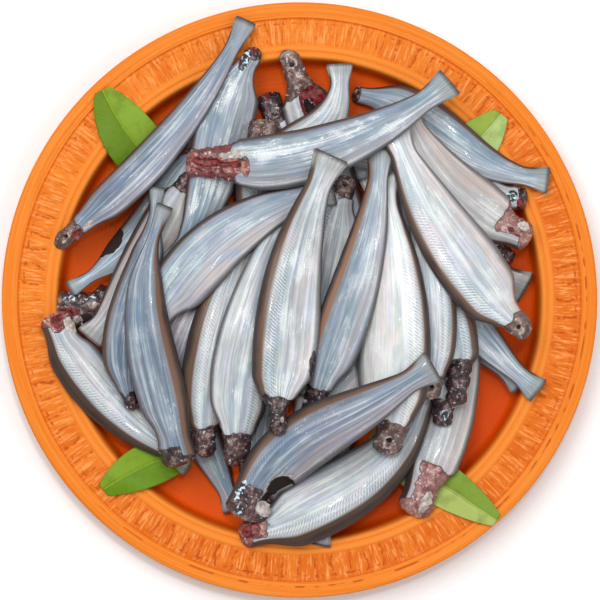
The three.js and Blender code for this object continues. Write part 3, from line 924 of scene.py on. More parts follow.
@dataclass
class LaidPiece:
    """A piece that lies in the heap, on the plan and at the height of the solid of its name."""

    name: str
    start: tuple[float, float]
    end: tuple[float, float]
    bow: float
    sway: float

    @property
    def length(self) -> float:
        """The straight length in millimetres."""
        return math.dist(self.start, self.end)

    def middle(self, u: np.ndarray) -> tuple[np.ndarray, np.ndarray]:
        """The middle line in plan.

        Args:
            u: Places from the start, 0, to the end, 1.

        Returns:
            The points there, and the unit normals to the left.
        """
        chord = np.subtract(self.end, self.start)
        left = np.array([-chord[1], chord[0]]) / self.length
        off = self.bow * 4 * u * (1 - u) + self.sway * np.sin(2 * math.pi * u)
        turn = self.bow * 4 * (1 - 2 * u) + self.sway * 2 * math.pi * np.cos(2 * math.pi * u)
        tangent = chord + turn[:, None] * left
        tangent /= np.linalg.norm(tangent, axis=1)[:, None]
        points = np.array(self.start) + u[:, None] * chord + off[:, None] * left
        return points, np.column_stack([-tangent[:, 1], tangent[:, 0]])

    def plan(self, u: np.ndarray, offset: np.ndarray) -> np.ndarray:
        """Points of the plan at places along the piece, that far to its left."""
        points, normals = self.middle(u)
        return points + normals * offset[:, None]

    def offset(self, u: np.ndarray, across: np.ndarray) -> np.ndarray:
        """How far left of the middle line a place across the piece is."""
        raise NotImplementedError

    def read_heights(
        self, solid: bpy.types.Object, stations: np.ndarray, lanes: np.ndarray
    ) -> np.ndarray:
        """Reads the middle surface of the solid.

        Args:
            solid: The CAD node of this piece.
            stations: Places along the piece.
            lanes: Places across it.

        Returns:
            Heights in millimetres, a row for each station.
        """
        mesh = solid.data
        polygons = [tuple(polygon.vertices) for polygon in mesh.polygons]
        tree = BVHTree.FromPolygons([vert.co for vert in mesh.vertices], polygons)
        u, across = (grid.ravel() for grid in np.meshgrid(stations, lanes, indexing="ij"))
        plan = self.plan(u, self.offset(u, across)) * MM
        heights = np.empty(len(u))
        for k, (x, y) in enumerate(plan.tolist()):
            below = tree.ray_cast(Vector((x, y, -1.0)), UP)[0]
            above = tree.ray_cast(Vector((x, y, 1.0)), -UP)[0]
            if below is None or above is None:
                raise ValueError(f"{self.name} has no solid at {x:.4f}, {y:.4f}")
            heights[k] = (below.z + above.z) / 2.0 / MM
        return heights.reshape(len(stations), len(lanes))


NECK_START, NECK_END = 0.04, 0.22
FAN_START, FAN_END = 0.7, 0.9
FINE_GRID = (64, 190)
BURIED_GRID = (44, 120)
FINE_LANES = np.array([-0.98, -0.809, -0.309, 0.309, 0.809, 0.98])
BURIED_LANES = np.array([-0.98, -0.707, 0.0, 0.707, 0.98])
BURIED_SKIPS = (1, 5, 9)
READ_FIRST, READ_LAST = 0.055, 0.996
NECK_REACH = 0.9
RING_CLOSENESS = 0.6
SLANT_REACH = 0.14
RING_DISH, TAIL_BULGE = 0.9, 0.6
FRAY_COARSE, FRAY_FINE, FRAY_SOFTNESS = 0.018, 0.008, 0.012
LIP_BEHIND, LIP_WIDTH, LIP_HEIGHT = 0.018, 0.012, 0.05
STUB_KNOBS, STUB_GRAIN, STUB_SHRINK = 0.22, 0.07, 0.08
SKIN_LUMPS = 0.014
TAIL_EDGE, TAIL_THINNING = 0.7, 0.14
BONE_ACROSS, BONE_UP, BONE_SQUASH = 0.12, 0.1, 0.8
BONE_RADIUS, BONE_SPAN, BONE_HEIGHT = 0.40, (0.18, 0.06), 0.4
HOLE_SPAN, HOLE_DEPTH, HOLE_DROP = (0.28, 0.14), 1.2, 0.5
MARK_SPAN, LIFT_SPAN = (1.1, 0.86), (1.25, 0.6)
UPPER_SIDE, UPPER_SLOPE = (0.0, 0.12), (0.0, 0.3)
FISH_SECTIONS = np.array([
    (0.00, 0.50, 0.40, 0.66),
    (0.05, 0.58, 0.40, 0.78),
    (0.10, 0.70, 0.42, 0.88),
    (0.16, 0.84, 0.62, 0.95),
    (0.22, 0.94, 0.88, 1.00),
    (0.31, 1.00, 1.00, 1.00),
    (0.42, 1.00, 1.00, 0.97),
    (0.53, 0.94, 0.90, 0.90),
    (0.64, 0.82, 0.76, 0.78),
    (0.74, 0.67, 0.61, 0.65),
    (0.82, 0.52, 0.47, 0.53),
    (0.89, 0.42, 0.38, 0.44),
    (0.95, 0.50, 0.46, 0.38),
    (1.00, 0.62, 0.58, 0.30),
])


class Back(Enum):
    """Which side of a fish its back is on, on the way to the tail."""

    LEFT = 1.0
    RIGHT = -1.0


class Tissue(Enum):
    """What a mark on a fish shows, as its place among the fish's masks: tissues, painted glints and
    painted shadow.
    """

    FLESH = 0
    BLOOD = 1
    PALE = 2
    LINING = 3
    # painted glints, not a tissue
    SPARK = 4


@dataclass(frozen=True)
class Mark:
    """A cut, hole, lump, stain, painted glint or patch of painted shadow on the upper side of a fish.
    """

    tissue: Tissue
    u: float
    across: float
    long: float
    wide: float
    lift: float = 0.0


@dataclass(frozen=True)
class Cut:
    """The end where the head was: how much is bare, how it slants and whether the bone shows."""

    raw: float = 0.12
    setback: float = 0.03
    ring: bool = False
    bare: float = 2.0


@dataclass
class Fish(LaidPiece):
    """One headless fish: a flattened body between a cut neck and a cut tail."""

    depth: float = 24.0
    back: Back = Back.LEFT
    finish: SkinFinish = SkinFinish()
    cut: Cut = Cut()
    neck: tuple[float, float] = (0.45, 0.4)
    fan: float = 1.0
    buried: bool = False
    marks: tuple[Mark, ...] = ()
    seed: float = 0.0
    thickness: float = 8.2
    thickness_to_depth: float = 0.36
    back_fullness: float = 0.2
    bulge: float = 2.4
    cap_rings: int = 12

    def section(self, column: int, u: np.ndarray) -> np.ndarray:
        """Reads one column of the section table along the fish."""
        return curve_weights(FISH_SECTIONS[:, 0], u) @ FISH_SECTIONS[:, column]

    def side_reach(self, column: int, u: np.ndarray) -> np.ndarray:
        """Reads how far one side reaches.

        Args:
            column: The side's column of the section table.
            u: Places along the fish.

        Returns:
            The reach there, as a share of half the depth.
        """
        neck = self.neck[column - 1]
        past = smooth_step(u, NECK_START, NECK_END)
        tail = smooth_step(u, FAN_START, FAN_END)
        return (neck + (self.section(column, u) - neck) * past) * (1.0 + (self.fan - 1.0) * tail)

    def offset(self, u: np.ndarray, across: np.ndarray) -> np.ndarray:
        """How far left of the middle line a place across the fish is."""
        share = np.where(across > 0, self.side_reach(1, u), self.side_reach(2, u))
        return self.back.value * across * share * self.depth / 2.0

    def build(self, solid: bpy.types.Object) -> bpy.types.Object:
        """Lays a fine skin over the solid.

        Args:
            solid: The CAD node of this fish.

        Returns:
            The finished fish.
        """
        around, rings = BURIED_GRID if self.buried else FINE_GRID
        form = bmesh.new()
        bmesh.ops.create_uvsphere(form, u_segments=around, v_segments=rings, radius=1.0)
        piece = grown_mesh(f"skin_of_{self.name}", form)
        ball = read_points(piece.data)
        ring = np.rint(np.arccos(np.clip(ball[:, 2], -1.0, 1.0)) / math.pi * rings)
        turn = np.arctan2(ball[:, 1], ball[:, 0])
        caps = self.cap_rings
        scale = np.clip(np.minimum(ring, rings - ring) / caps, 0.0, 1.0)
        body = np.clip((ring - caps) / (rings - 2 * caps), 0.0, 1.0)
        body = body * (RING_CLOSENESS + (1.0 - RING_CLOSENESS) * body)
        across, up = np.cos(turn) * scale, np.sin(turn) * scale
        points, skin, masks = self.sculpt(solid, body, across, up, scale)
        write_points(piece.data, points)
        write_attribute(piece.data, "skin", [*skin, masks[Tissue.SPARK.value]])
        write_attribute(piece.data, "marks", masks[: Tissue.SPARK.value])
        finish = self.finish.material(f"skin_of_{self.name}", self.length, self.seed)
        piece.data.materials.append(finish)
        return piece

    def level(self, solid: bpy.types.Object, u: np.ndarray, across: np.ndarray) -> np.ndarray:
        """The height of the solid's middle surface.

        Args:
            solid: The CAD node of this fish.
            u: Places along the fish.
            across: Places across it.

        Returns:
            The heights in millimetres.
        """
        stations, lanes = FISH_SECTIONS[:, 0], FINE_LANES
        if self.buried:
            stations, lanes = np.delete(stations, BURIED_SKIPS), BURIED_LANES
        heights = self.read_heights(solid, np.clip(stations[1:], READ_FIRST, READ_LAST), lanes)
        neck_height = (1.0 + NECK_REACH) * heights[0] - NECK_REACH * heights[1]
        heights = np.vstack([neck_height, heights])
        lengthways = curve_weights(stations, u)
        return np.einsum("ki,ij,kj->k", lengthways, heights, curve_weights(lanes, across))

    @staticmethod
    def on_cut(body: np.ndarray, scale: np.ndarray) -> np.ndarray:
        """Whether each vertex is on the neck's cut."""
        return (scale < 0.999) & (body < 0.5)

    def end_shape(self, body: np.ndarray, up: np.ndarray, scale: np.ndarray) -> np.ndarray:
        """Places along the fish, with a slanted or rounded neck and a flat tail.

        Args:
            body: Each vertex's place along the skin, from 0 to 1.
            up: Its place from the underside, -1, to the upper side, 1.
            scale: 1 on the skin, and less towards the middle of the cut ends.

        Returns:
            The places, from 0 at the neck's foremost point to 1 at the tail.
        """
        near = np.clip(1.0 - body / SLANT_REACH, 0.0, 1.0)
        slant = self.cut.setback * (1.0 + up) / 2.0 * near
        round_off = np.sqrt(np.clip(1.0 - scale**2, 0.0, 1.0))
        if self.cut.ring:
            face = round_off**2 * RING_DISH / self.length
            start = 0.0
        else:
            face = -round_off * self.bulge / self.length
            start = self.bulge / self.length
        u = start + (1.0 - start) * body + slant
        back = (body > 0.5) * round_off * TAIL_BULGE / self.length
        return u + np.where(self.on_cut(body, scale), face, 0.0) - back

    def sculpt(
        self,
        solid: bpy.types.Object,
        body: np.ndarray,
        across: np.ndarray,
        up: np.ndarray,
        scale: np.ndarray,
    ) -> tuple[np.ndarray, list[np.ndarray], list[np.ndarray]]:
        """Places and marks the vertices of the skin.

        Args:
            solid: The CAD node of this fish.
            body: Each vertex's place along the fish, from 0 to 1.
            across: Its place from the belly, -1, to the back, 1.
            up: Its place from the underside, -1, to the upper side, 1.
            scale: 1 on the skin, and less towards the middle of the cut ends.

        Returns:
            The vertices in millimetres, the parts of the attribute skin, and a mask for each
            tissue.
        """
        u = self.end_shape(body, up, scale)
        offset = self.offset(u, across)
        full = min(self.thickness, self.depth * self.thickness_to_depth)
        rise = full / 2.0 * self.section(3, u) * up * (1.0 + self.back_fullness * across)
        level = self.level(solid, u, across)

        along = u * self.length
        flat = np.column_stack([along, offset, rise])
        ragged = lumps(flat, 5.0, self.seed)
        torn = lumps(flat, 2.2, self.seed + 3.0)
        past = u + FRAY_COARSE * ragged + FRAY_FINE * torn - self.cut.raw
        stub = smooth_step(past, FRAY_SOFTNESS, -FRAY_SOFTNESS)
        skinless = across + 0.15 * ragged + 0.08 * torn - self.cut.bare
        stub *= smooth_step(skinless, 0.08, -0.08)
        knobs = lumps(flat, 4.6, self.seed + 5.0) + 0.6 * lumps(flat, 2.2, self.seed + 8.0)
        grain = STUB_GRAIN * lumps(flat, 1.2, self.seed + 9.0)
        swell = 1.0 + stub * (STUB_KNOBS * knobs + grain - STUB_SHRINK)
        lip = np.exp(-(((past - LIP_BEHIND) / LIP_WIDTH) ** 2)) * (across < self.cut.bare)
        swell += LIP_HEIGHT * lip
        swell += SKIN_LUMPS * lumps(flat, 14.0, self.seed + 2.0)
        swell -= TAIL_THINNING * np.exp(-(self.length - along) / TAIL_EDGE) * (scale > 0.99)
        points = np.column_stack([self.plan(u, offset * swell), level + rise * swell])

        masks = [np.zeros(len(u)) for _ in Tissue]
        face = self.on_cut(body, scale)
        masks[Tissue.FLESH.value] = np.maximum(stub, face)
        masks[Tissue.BLOOD.value] = stub * smooth_step(knobs, -0.35, -0.75) * 0.6
        if self.cut.ring:
            self.cut_bone(points, masks, across, up, face)
        for mark in self.marks:
            self.apply(mark, points, masks, along, offset, up)
        return points, [along, offset, across], masks

    def cut_bone(
        self,
        points: np.ndarray,
        masks: list[np.ndarray],
        across: np.ndarray,
        up: np.ndarray,
        face: np.ndarray,
    ) -> None:
        """Shapes the backbone in the middle of the neck cut: a pale ring round a dark hole.

        Args:
            points: The fish's vertices, which are changed.
            masks: A mask for each tissue, which are changed.
            across: Each vertex's place across the fish.
            up: Its place through the thickness.
            face: Whether it is on the cut.
        """
        gap = np.hypot(across - BONE_ACROSS, (up - BONE_UP) * BONE_SQUASH)
        hole = smooth_step(gap, *HOLE_SPAN) * face
        bone = smooth_step(np.abs(gap - BONE_RADIUS), *BONE_SPAN) * face
        bone *= smooth_step(lumps(points, 2.4, self.seed + 17.0), -0.45, 0.2)
        _, normals = self.middle(np.zeros(1))
        inward = np.array([normals[0, 1], -normals[0, 0]])
        points[:, :2] += inward * (hole * HOLE_DEPTH - bone * BONE_HEIGHT)[:, None]
        points[:, 2] -= hole * HOLE_DROP
        masks[Tissue.PALE.value] = np.maximum(masks[Tissue.PALE.value], bone * 0.7)
        masks[Tissue.LINING.value] = np.maximum(masks[Tissue.LINING.value], hole)

    def apply(
        self,
        mark: Mark,
        points: np.ndarray,
        masks: list[np.ndarray],
        along: np.ndarray,
        offset: np.ndarray,
        up: np.ndarray,
    ) -> None:
        """Cuts, raises or stains one place of the upper side, or paints glints or shadow there.

        Args:
            mark: What to do, and where.
            points: The fish's vertices, whose heights are changed.
            masks: A mask for each tissue, which are changed.
            along: Each vertex's distance from the neck.
            offset: Its distance left of the middle line.
            up: Its place through the thickness.
        """
        aside = self.offset(np.array([mark.u]), np.array([mark.across]))[0]
        gap = np.hypot((along - mark.u * self.length) / mark.long, (offset - aside) / mark.wide)
        flat = np.column_stack([along, offset, up])
        gap += 0.16 * lumps(flat, 3.0, self.seed + 11.0)
        gap += 0.08 * lumps(flat, 1.3, self.seed + 13.0)
        here = smooth_step(gap, *MARK_SPAN) * smooth_step(up, *UPPER_SIDE)
        lift = smooth_step(gap, *LIFT_SPAN) * smooth_step(up, *UPPER_SLOPE)
        points[:, 2] += mark.lift * lift
        for mask in masks:
            mask *= 1.0 - here
        masks[mark.tissue.value] += here


@dataclass
class Leaf(LaidPiece):
    """One leaf: a long thin wavy blade with a sunk midrib and faint side veins."""

    width: float = 20.0
    finish: LeafFinish = LeafFinish()
    thickness: float = 0.6
    grid: tuple[int, int] = (90, 30)
    blade_start: float = 0.16
    blade_share: float = 0.8
    blade_fullness: float = 0.6
    stations: int = 9
    lanes: tuple[float, ...] = (-0.97, -0.5, 0.0, 0.5, 0.97)
    rib_depth: float = 0.5
    rib_width: float = 0.7
    vein_relief: float = 0.012

    def offset(self, u: np.ndarray, across: np.ndarray) -> np.ndarray:
        """How far left of the middle line a place across the leaf is."""
        blade = np.sin(math.pi * (self.blade_start + self.blade_share * u)) ** self.blade_fullness
        return across * blade * self.width / 2.0

    def build(self, solid: bpy.types.Object) -> bpy.types.Object:
        """Lays a fine blade over the solid.

        Args:
            solid: The CAD node of this leaf.

        Returns:
            The finished leaf.
        """
        form = bmesh.new()
        bmesh.ops.create_grid(form, x_segments=self.grid[0], y_segments=self.grid[1], size=1.0)
        piece = grown_mesh(f"blade_of_{self.name}", form)
        flat = read_points(piece.data)
        u, across = (flat[:, 0] + 1.0) / 2.0, flat[:, 1]
        stations, lanes = np.linspace(0.0, 1.0, self.stations), np.array(self.lanes)
        heights = self.read_heights(solid, np.clip(stations, 0.01, 0.99), lanes)
        lengthways, crossways = curve_weights(stations, u), curve_weights(lanes, across)
        level = np.einsum("ki,ij,kj->k", lengthways, heights, crossways)
        offset = self.offset(u, across)
        along = u * self.length
        level -= self.rib_depth * np.exp(-((offset / self.rib_width) ** 2))
        level += self.vein_relief * np.sin((along - np.abs(offset) * VEIN_SLANT) * VEIN_RATE)
        points = np.column_stack([self.plan(u, offset), level])
        write_points(piece.data, points)
        write_attribute(piece.data, "skin", [along, offset, across])
        self.thicken(piece)
        piece.data.materials.append(self.finish.material(f"blade_of_{self.name}"))
        return piece

    def thicken(self, piece: bpy.types.Object) -> None:
        """Gives the blade its two faces, half its thickness to each side.

        Args:
            piece: The blade, whose mesh is changed.
        """
        form = bmesh.new()
        form.from_mesh(piece.data)
        bmesh.ops.solidify(form, geom=form.faces[:], thickness=self.thickness * MM)
        bmesh.ops.recalc_face_normals(form, faces=form.faces)
        lift = Vector((0.0, 0.0, self.thickness * MM / 2.0))
        bmesh.ops.translate(form, verts=form.verts, vec=lift)
        form.to_mesh(piece.data)
        form.free()
        piece.data.polygons.foreach_set("use_smooth", [True] * len(piece.data.polygons))


# The heap


def heap_fish() -> list[Fish]:
    """Lists the fish from the bottom of the heap to the top, where the solids lie.

    Returns:
        The fish, each with its marks and its own random shift.
    """
    left, right = Back.LEFT, Back.RIGHT
    blue, steel, silver, pearl, white, tan, violet = Tone
    flesh_tan, brown, red, dark, pink = Flesh
    skin = SkinFinish
    rows = [
        Fish("fish_under_bottom", (20, -20), (8.5, -107), 1, 0, 18, left,
             skin(steel, gleam=0.2), buried=True),
        Fish("fish_under_lower_left_a", (-62, -16), (-28.5, -92), 0, 0, 20, left,
             skin(blue, gleam=0.2), buried=True),
        Fish("fish_under_lower_left_b", (-18, -10), (-24, -89), 2, 0, 19, right,
             skin(blue, gleam=0.2), buried=True),
        Fish("fish_sliver_left", (-47, -68), (-41, 22), 2, 0, 22, left,
             skin(white, brown, 0.1, 0.2, 0.3, 1.0), buried=True),
        Fish("fish_white_middle", (-7, -62), (48, 8), -3, 0, 27, right,
             skin(white, brown, 0.1, 0.2, 0.3, 1.0), buried=True),
        Fish("fish_tail_right", (14, 36), (99.5, 5), 3, 0, 26, left,
             skin(tan, gleam=0.1), buried=True),
        Fish("fish_head_right_low", (94, 16), (32, 78), 3, 0, 20, right,
             skin(silver, dark), buried=True),
        Fish("fish_head_right_high", (100.5, 44.5), (14, 62), 4, 0, 24, left,
             skin(silver, dark), Cut(0.06), buried=True),
        Fish("fish_tail_lower_right", (26, 22), (97, -37), 1, 0, 21, left,
             skin(blue, gleam=0.3), buried=True),
        Fish("fish_open_head_left", (-107, -4), (-18, -16), 3, 0, 23, left, skin(silver, brown),
             Cut(0.24), neck=(0.75, 0.8), buried=True),
        Fish("fish_slivers_top", (-50, 24), (-31, 95), 3, 0, 21, left,
             skin(silver, gleam=0.9), buried=True),
        Fish("fish_head_top_middle", (-15, 92), (20, 4), -2, 0, 26, left,
             skin(silver, dark, gleam=0.8), Cut(0.16), buried=True),
        Fish("fish_oval_head_top", (-6.5, 109), (32, 8), 0, 0, 22, left, skin(silver, flesh_tan),
             Cut(0.20, 0.10, True), buried=True),
        Fish("fish_violet_left", (-56.5, -46), (-22, 30), 4, 0, 24, right,
             skin(violet, brown, 0.2, 0.1, 0.0, 0.1), buried=True),
        Fish("fish_left_long", (-41, 72), (-100, 4.5), 8, 0, 22, right,
             skin(blue, brown, 0.08, 0.3, 0.0, 0.3), fan=0.6),
        Fish("fish_lower_left_outer", (-109, -5), (-47, -71), -8, 0, 22, right,
             skin(silver, red, 0.24, 0.9, 0.8, 0.6), Cut(0.10, 0.05, bare=0.3), (0.55, 0.8)),
        Fish("fish_tail_left", (-46, 56), (-91.5, -17), 3, 0, 23, right,
             skin(tan, brown, 0.08, 0.2, 0.0, 0.1)),
        Fish("fish_upper_left_second", (-17.5, 111), (-55, 14), 0.5, -3, 25, right,
             skin(blue, dark, 0.06, 0.2, 0.0, 0.9), Cut(0.06, 0.04), (0.3, 0.3)),
        Fish("fish_round_head_top", (-15.5, 79), (-16, -12), 1, 0, 26, right, skin(silver, flesh_tan),
             Cut(0.14, 0.05, True), (0.55, 0.55), buried=True),
        Fish("fish_right_tail_up", (22, 91), (108.5, 52), -1.5, 3.5, 21, left,
             skin(blue, brown, 0.1, 0.3, 0.0, 0.4), Cut(0.0), (0.35, 0.35)),
        Fish("fish_top_hooked", (-22, 52), (17.5, 103), -10.5, 2.5, 21, left,
             skin(silver, brown, 0.08, 0.2, 0.2, 0.6), neck=(0.3, 0.3)),
        Fish("fish_lower_right_pale", (47.5, -95), (75, 12), -6, 0, 23, left,
             skin(tan, pink, 0.16, 0.9, 0.3, 0.3), Cut(0.22, 0.06, bare=0.45), (0.65, 0.7)),
        Fish("fish_bottom_dark", (-27.5, -104), (57, -31), -15.5, 2, 29, right,
             skin(silver, red, 0.2, 0.9, 0.9, 0.2, 0.3), Cut(0.12, 0.04, bare=0.5), (0.4, 0.5)),
        Fish("fish_dark_head_right", (62, -56), (60, 34), -2, 0, 20, right, skin(silver, dark),
             Cut(0.14), (0.5, 0.5), buried=True),
        Fish("fish_right_tail_down", (44, 41), (104, -40), -6.5, 0, 21, left,
             skin(blue, brown, 0.1, 0.2, 0.2, 0.5)),
        Fish("fish_inner_right", (67.5, -47), (42, 65), -2, -3.5, 23, right,
             skin(silver, dark, 0.16, 0.2, 0.8, 0.6), Cut(0.18, 0.03)),
        Fish("fish_stub_right", (55.5, -43), (48, 52), -4.5, 0, 21, right, skin(silver, flesh_tan),
             Cut(0.10, 0.09, True), (0.5, 0.5)),
        Fish("fish_right_upper", (102, 26.5), (46, 84), 9, 0, 24, left,
             skin(tan, pink, 0.1, 0.3, 0.1, 0.4, 0.9), Cut(0.20, 0.05, bare=0.4), (0.6, 0.55)),
        Fish("fish_lower_left_brown", (-40.5, -70.5), (-15, 40), 8, 0, 24, left,
             skin(silver, brown, 0.22, 0.4, 0.6, 0.4, 0.7), Cut(0.13, 0.06)),
        Fish("fish_lower_left_silver", (-27.5, -74), (0, 48), 8, 0, 26, right,
             skin(silver, brown, 0.1, 0.4, 0.6, 0.7, 0.3), Cut(0.13, 0.06)),
        Fish("fish_centre_herringbone", (21, 54), (2, -42), -1, 0, 24, right,
             skin(silver, flesh_tan, 0.12, 0.2, 1.0, 1.0), Cut(0.10, 0.06, True)),
        Fish("fish_left_inner", (-72, -49), (-61.5, 49), 4.5, 3, 20, left,
             skin(steel, dark, 0.1, 0.3, 0.0, 0.2), Cut(0.08), (0.35, 0.3), 0.6),
        Fish("fish_widest_right", (37, -67), (34, 54), -5, 0, 31, right,
             skin(white, flesh_tan, 0.1, 0.2, 0.9, 1.0, 0.6), Cut(0.12, 0.08, True)),
        Fish("fish_left_centre", (-66, -18), (15, 48), 13, 0, 26, left,
             skin(blue, brown, 0.06, 0.2, 0.0, 0.3, 1.1), Cut(0.04)),
        Fish("fish_centre_right", (4, -52), (35, 66), -4.5, 1, 22, left,
             skin(blue, dark, 0.2, -1.4, 0.1, 0.45, 0.6), Cut(0.12), (0.5, 0.45)),
        Fish("fish_upper_left_long", (-106.5, 23.5), (-23, 122), -8.2, 0.5, 17, left,
             skin(steel, flesh_tan, 0.08, 0.4, 0.0, 0.15, 0.6), Cut(0.10, 0.07, True),
             (0.48, 0.48)),
        Fish("fish_left_top", (-51, -73), (-58, 41), 10.5, -2, 22, right,
             skin(steel, dark, 0.22, 0.1, 0.1, 0.25, 0.1), Cut(0.08, 0.03, bare=0.3),
             (0.72, 0.72), 0.6),
        Fish("fish_right_top", (99, -15.5), (40, 75), 6, 0, 29, left,
             skin(pearl, flesh_tan, 0.13, 0.1, 1.0, 0.7, 0.9), Cut(0.10, 0.08, True),
             (0.36, 0.36)),
        Fish("fish_bottom_top", (-25.5, -97), (57.5, -28.5), 9, 3, 26, left,
             skin(steel, brown, 0.15, 0.1, 0.2, 0.12, 0.9), Cut(0.14, 0.05, bare=0.6),
             (0.75, 0.75)),
        Fish("fish_top_red_head", (-50, 59.5), (65, 94), -13, 0, 24, left,
             skin(blue, red, 0.06, 0.2, 0.0, 0.8, 0.55), Cut(0.17, 0.02), (0.6, 0.55)),
        Fish("fish_centre_top", (-9.5, -60), (14, 62), 6, -1, 28, left,
             skin(silver, dark, 0.17, 0.3, 1.0, 0.9, 0.5), Cut(0.14, 0.04), (0.25, 0.25)),
    ]
    for k, fish in enumerate(rows):
        fish.seed = float(k)
        fish.marks = FISH_MARKS.get(fish.name, ())
    return rows


FISH_MARKS: dict[str, tuple[Mark, ...]] = {
    "fish_top_red_head": (
        Mark(Tissue.FLESH, 0.10, -0.1, 13.0, 5.5, -0.3),
        Mark(Tissue.BLOOD, 0.08, 0.1, 6.0, 2.2, -2.0),
        Mark(Tissue.BLOOD, 0.16, 0.0, 6.0, 1.3, -1.5),
        Mark(Tissue.PALE, 0.17, 0.45, 6.0, 1.8, 0.6),
        Mark(Tissue.FLESH, 0.21, -0.1, 1.8, 4.5, 0.5),
    ),
    "fish_bottom_top": (
        Mark(Tissue.PALE, 0.188, -0.82, 9.4, 5.9, -1.0),
        Mark(Tissue.LINING, 0.185, -0.9, 8.5, 5.6, -2.5),
        Mark(Tissue.LINING, 0.125, -0.7, 3.5, 2.2, -1.0),
        Mark(Tissue.PALE, 0.085, -0.72, 3.2, 3.6),
        Mark(Tissue.SPARK, 0.04, 0.35, 3.0, 2.0),
        Mark(Tissue.SPARK, 0.11, 0.68, 4.5, 1.6),
    ),
    "fish_bottom_dark": (Mark(Tissue.BLOOD, 0.06, -0.2, 4.0, 3.0),),
    "fish_lower_left_outer": (
        Mark(Tissue.BLOOD, 0.05, -0.2, 4.0, 3.0),
        Mark(Tissue.PALE, 0.10, -0.8, 4.0, 2.5),
    ),
    "fish_open_head_left": (
        Mark(Tissue.SPARK, 0.075, 0.65, 3.5, 1.6),
        Mark(Tissue.SPARK, 0.175, 0.6, 3.0, 1.3),
        Mark(Tissue.BLOOD, 0.08, -0.1, 5.0, 2.0),
        Mark(Tissue.LINING, 0.16, -0.55, 3.0, 2.6),
        Mark(Tissue.PALE, 0.10, -0.6, 3.5, 2.0),
    ),
    "fish_upper_left_long": (
        Mark(Tissue.BLOOD, 0.085, -0.45, 3.0, 1.6, -0.8),
        Mark(Tissue.PALE, 0.13, -0.5, 3.0, 1.2),
    ),
    # painted shadow: the near-black lining colour laid at the edge, where the gap beside the fish
    # lies in shade
    "fish_left_long": (Mark(Tissue.LINING, 0.72, 0.95, 8.0, 4.4),),
    "fish_oval_head_top": (
        Mark(Tissue.BLOOD, 0.25, 0.3, 9.0, 6.0, -1.5),
        Mark(Tissue.LINING, 0.27, 0.1, 6.0, 2.5, -2.0),
        Mark(Tissue.FLESH, 0.138, 0.6, 3.0, 2.0, 0.8),
    ),
    "fish_upper_left_second": (
        Mark(Tissue.BLOOD, 0.03, 0.2, 1.5, 1.5),
        Mark(Tissue.SPARK, 0.09, 0.4, 5.0, 2.0),
    ),
    "fish_head_right_high": (
        Mark(Tissue.BLOOD, 0.05, 0.4, 2.0, 2.0),
        Mark(Tissue.BLOOD, 0.13, 0.3, 1.5, 2.0),
        Mark(Tissue.SPARK, 0.09, 0.0, 2.5, 3.0),
    ),
    "fish_right_upper": (
        Mark(Tissue.PALE, 0.08, -0.55, 3.0, 2.6, 1.5),
        Mark(Tissue.BLOOD, 0.13, 0.1, 1.5, 1.0),
        Mark(Tissue.BLOOD, 0.09, 0.25, 1.2, 0.8),
    ),
    "fish_dark_head_right": (Mark(Tissue.SPARK, 0.07, 0.1, 2.5, 2.0),),
    "fish_lower_right_pale": (Mark(Tissue.PALE, 0.085, -0.55, 5.0, 2.8, 0.8),),
    "fish_centre_top": (
        Mark(Tissue.PALE, 0.07, -0.5, 1.5, 1.0),
        Mark(Tissue.LINING, 0.055, -0.3, 1.0, 0.8),
        Mark(Tissue.FLESH, 0.27, -0.92, 6.0, 1.3),
    ),
}


def heap_leaves() -> list[Leaf]:
    """The four leaves under the heap, where the solids lie."""
    return [
        Leaf("leaf_top_left", (-59, 53.5), (-86, 91.5), 2, 0, 24, LeafFinish()),
        Leaf(
            "leaf_top_right", (56, 48), (88, 81), -1, 0, 22,
            LeafFinish((0.27, 0.38, 0.045), (0.40, 0.54, 0.18), (0.55, 0.66, 0.32)),
        ),
        Leaf(
            "leaf_bottom_left", (-48, -66), (-85.5, -83), -2, 0, 19,
            LeafFinish((0.12, 0.24, 0.004), (0.18, 0.31, 0.008)),
        ),
        Leaf(
            "leaf_bottom_right", (31, -60), (86, -96), 0, 0, 20,
            LeafFinish((0.19, 0.30, 0.03), (0.38, 0.47, 0.12)),
        ),
    ]


# The studio


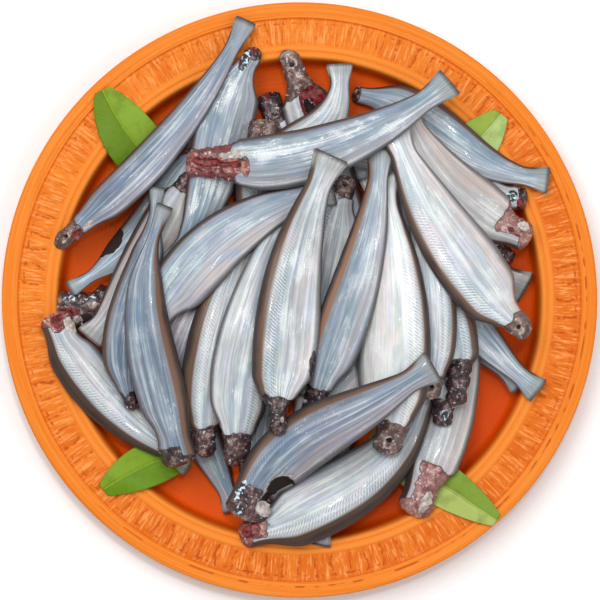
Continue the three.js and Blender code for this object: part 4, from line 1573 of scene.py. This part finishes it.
@dataclass
class Studio:
    """A pale floor, soft light and a camera that looks straight down.

    Each lamp is given as its name, its place, the side of its square and its power.
    """

    camera_height: float = 1.517
    camera_aside: float = 0.0002
    lens: float = 206.3
    floor_size: float = 6.0
    floor_tones: tuple[float, float] = (0.955, 0.975)
    sky: Colour = (1.0, 0.985, 0.965)
    sky_strength: float = 0.44
    lamps: tuple[tuple[str, Place, float, float], ...] = (
        ("key_light", (-0.42, 0.6, 1.5), 1.0, 15.5),
        ("fill_light", (0.8, -0.3, 1.2), 1.0, 4.5),
        ("glint_light", (0.1, 0.3, 1.6), 0.12, 4.0),
    )

    def build(self) -> None:
        """Makes the floor, the lights, the sky and the camera."""
        form = bmesh.new()
        bmesh.ops.create_grid(form, x_segments=1, y_segments=1, size=self.floor_size / 2.0)
        floor = grown_mesh("pale_floor", form)
        shader = Shader("pale_floor")
        x, y, _ = shader.place()
        darker, lighter = ((tone,) * 3 for tone in self.floor_tones)
        tone = shader.mix(FLOOR_GRAIN.over(x, y), darker, lighter)
        shader.set(Base_Color=tone, Roughness=0.8)
        floor.data.materials.append(shader.material)
        for name, place, side, power in self.lamps:
            self.hang(name, Vector(place), side, power)
        world = bpy.data.worlds.new("studio")
        world.use_nodes = True
        background = world.node_tree.nodes["Background"]
        background.inputs["Color"].default_value = (*self.sky, 1.0)
        background.inputs["Strength"].default_value = self.sky_strength
        bpy.context.scene.world = world
        camera = bpy.data.objects.new("camera", bpy.data.cameras.new("camera"))
        camera.data.lens = self.lens
        camera.data.clip_start = 0.05
        camera.location = (self.camera_aside, 0.0, self.camera_height)
        bpy.context.scene.collection.objects.link(camera)
        bpy.context.scene.camera = camera
        bpy.context.scene.view_settings.view_transform = "Standard"

    def hang(self, name: str, place: Vector, side: float, power: float) -> None:
        """Hangs one square soft light that faces the plate.

        Args:
            name: The lamp's name.
            place: Where it hangs, in metres.
            side: The side of its square.
            power: Its power in watts.
        """
        light = bpy.data.lights.new(name, "AREA")
        light.size = side
        light.energy = power
        lamp = bpy.data.objects.new(name, light)
        lamp.location = place
        lamp.rotation_euler = place.to_track_quat("Z", "Y").to_euler()
        bpy.context.scene.collection.objects.link(lamp)


def main() -> None:
    """Builds the plate, the leaves, the fish and the studio round the frame."""
    logging.basicConfig(level=logging.INFO, format="%(name)s: %(message)s")
    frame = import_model()
    nodes = frame["nodes"]
    plate = Plate().build()
    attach(plate, "root")
    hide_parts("plate")
    LOG.info("plate: %d faces", len(plate.data.polygons))
    for slot, laid in (("leaf", heap_leaves()), ("fish", heap_fish())):
        for item in laid:
            piece = item.build(nodes[item.name])
            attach(piece, "root")
            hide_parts(item.name)
            LOG.info("%s: %d faces", item.name, len(piece.data.polygons))
    Studio().build()
    bpy.context.view_layer.update()


if __name__ == "__main__":
    main()
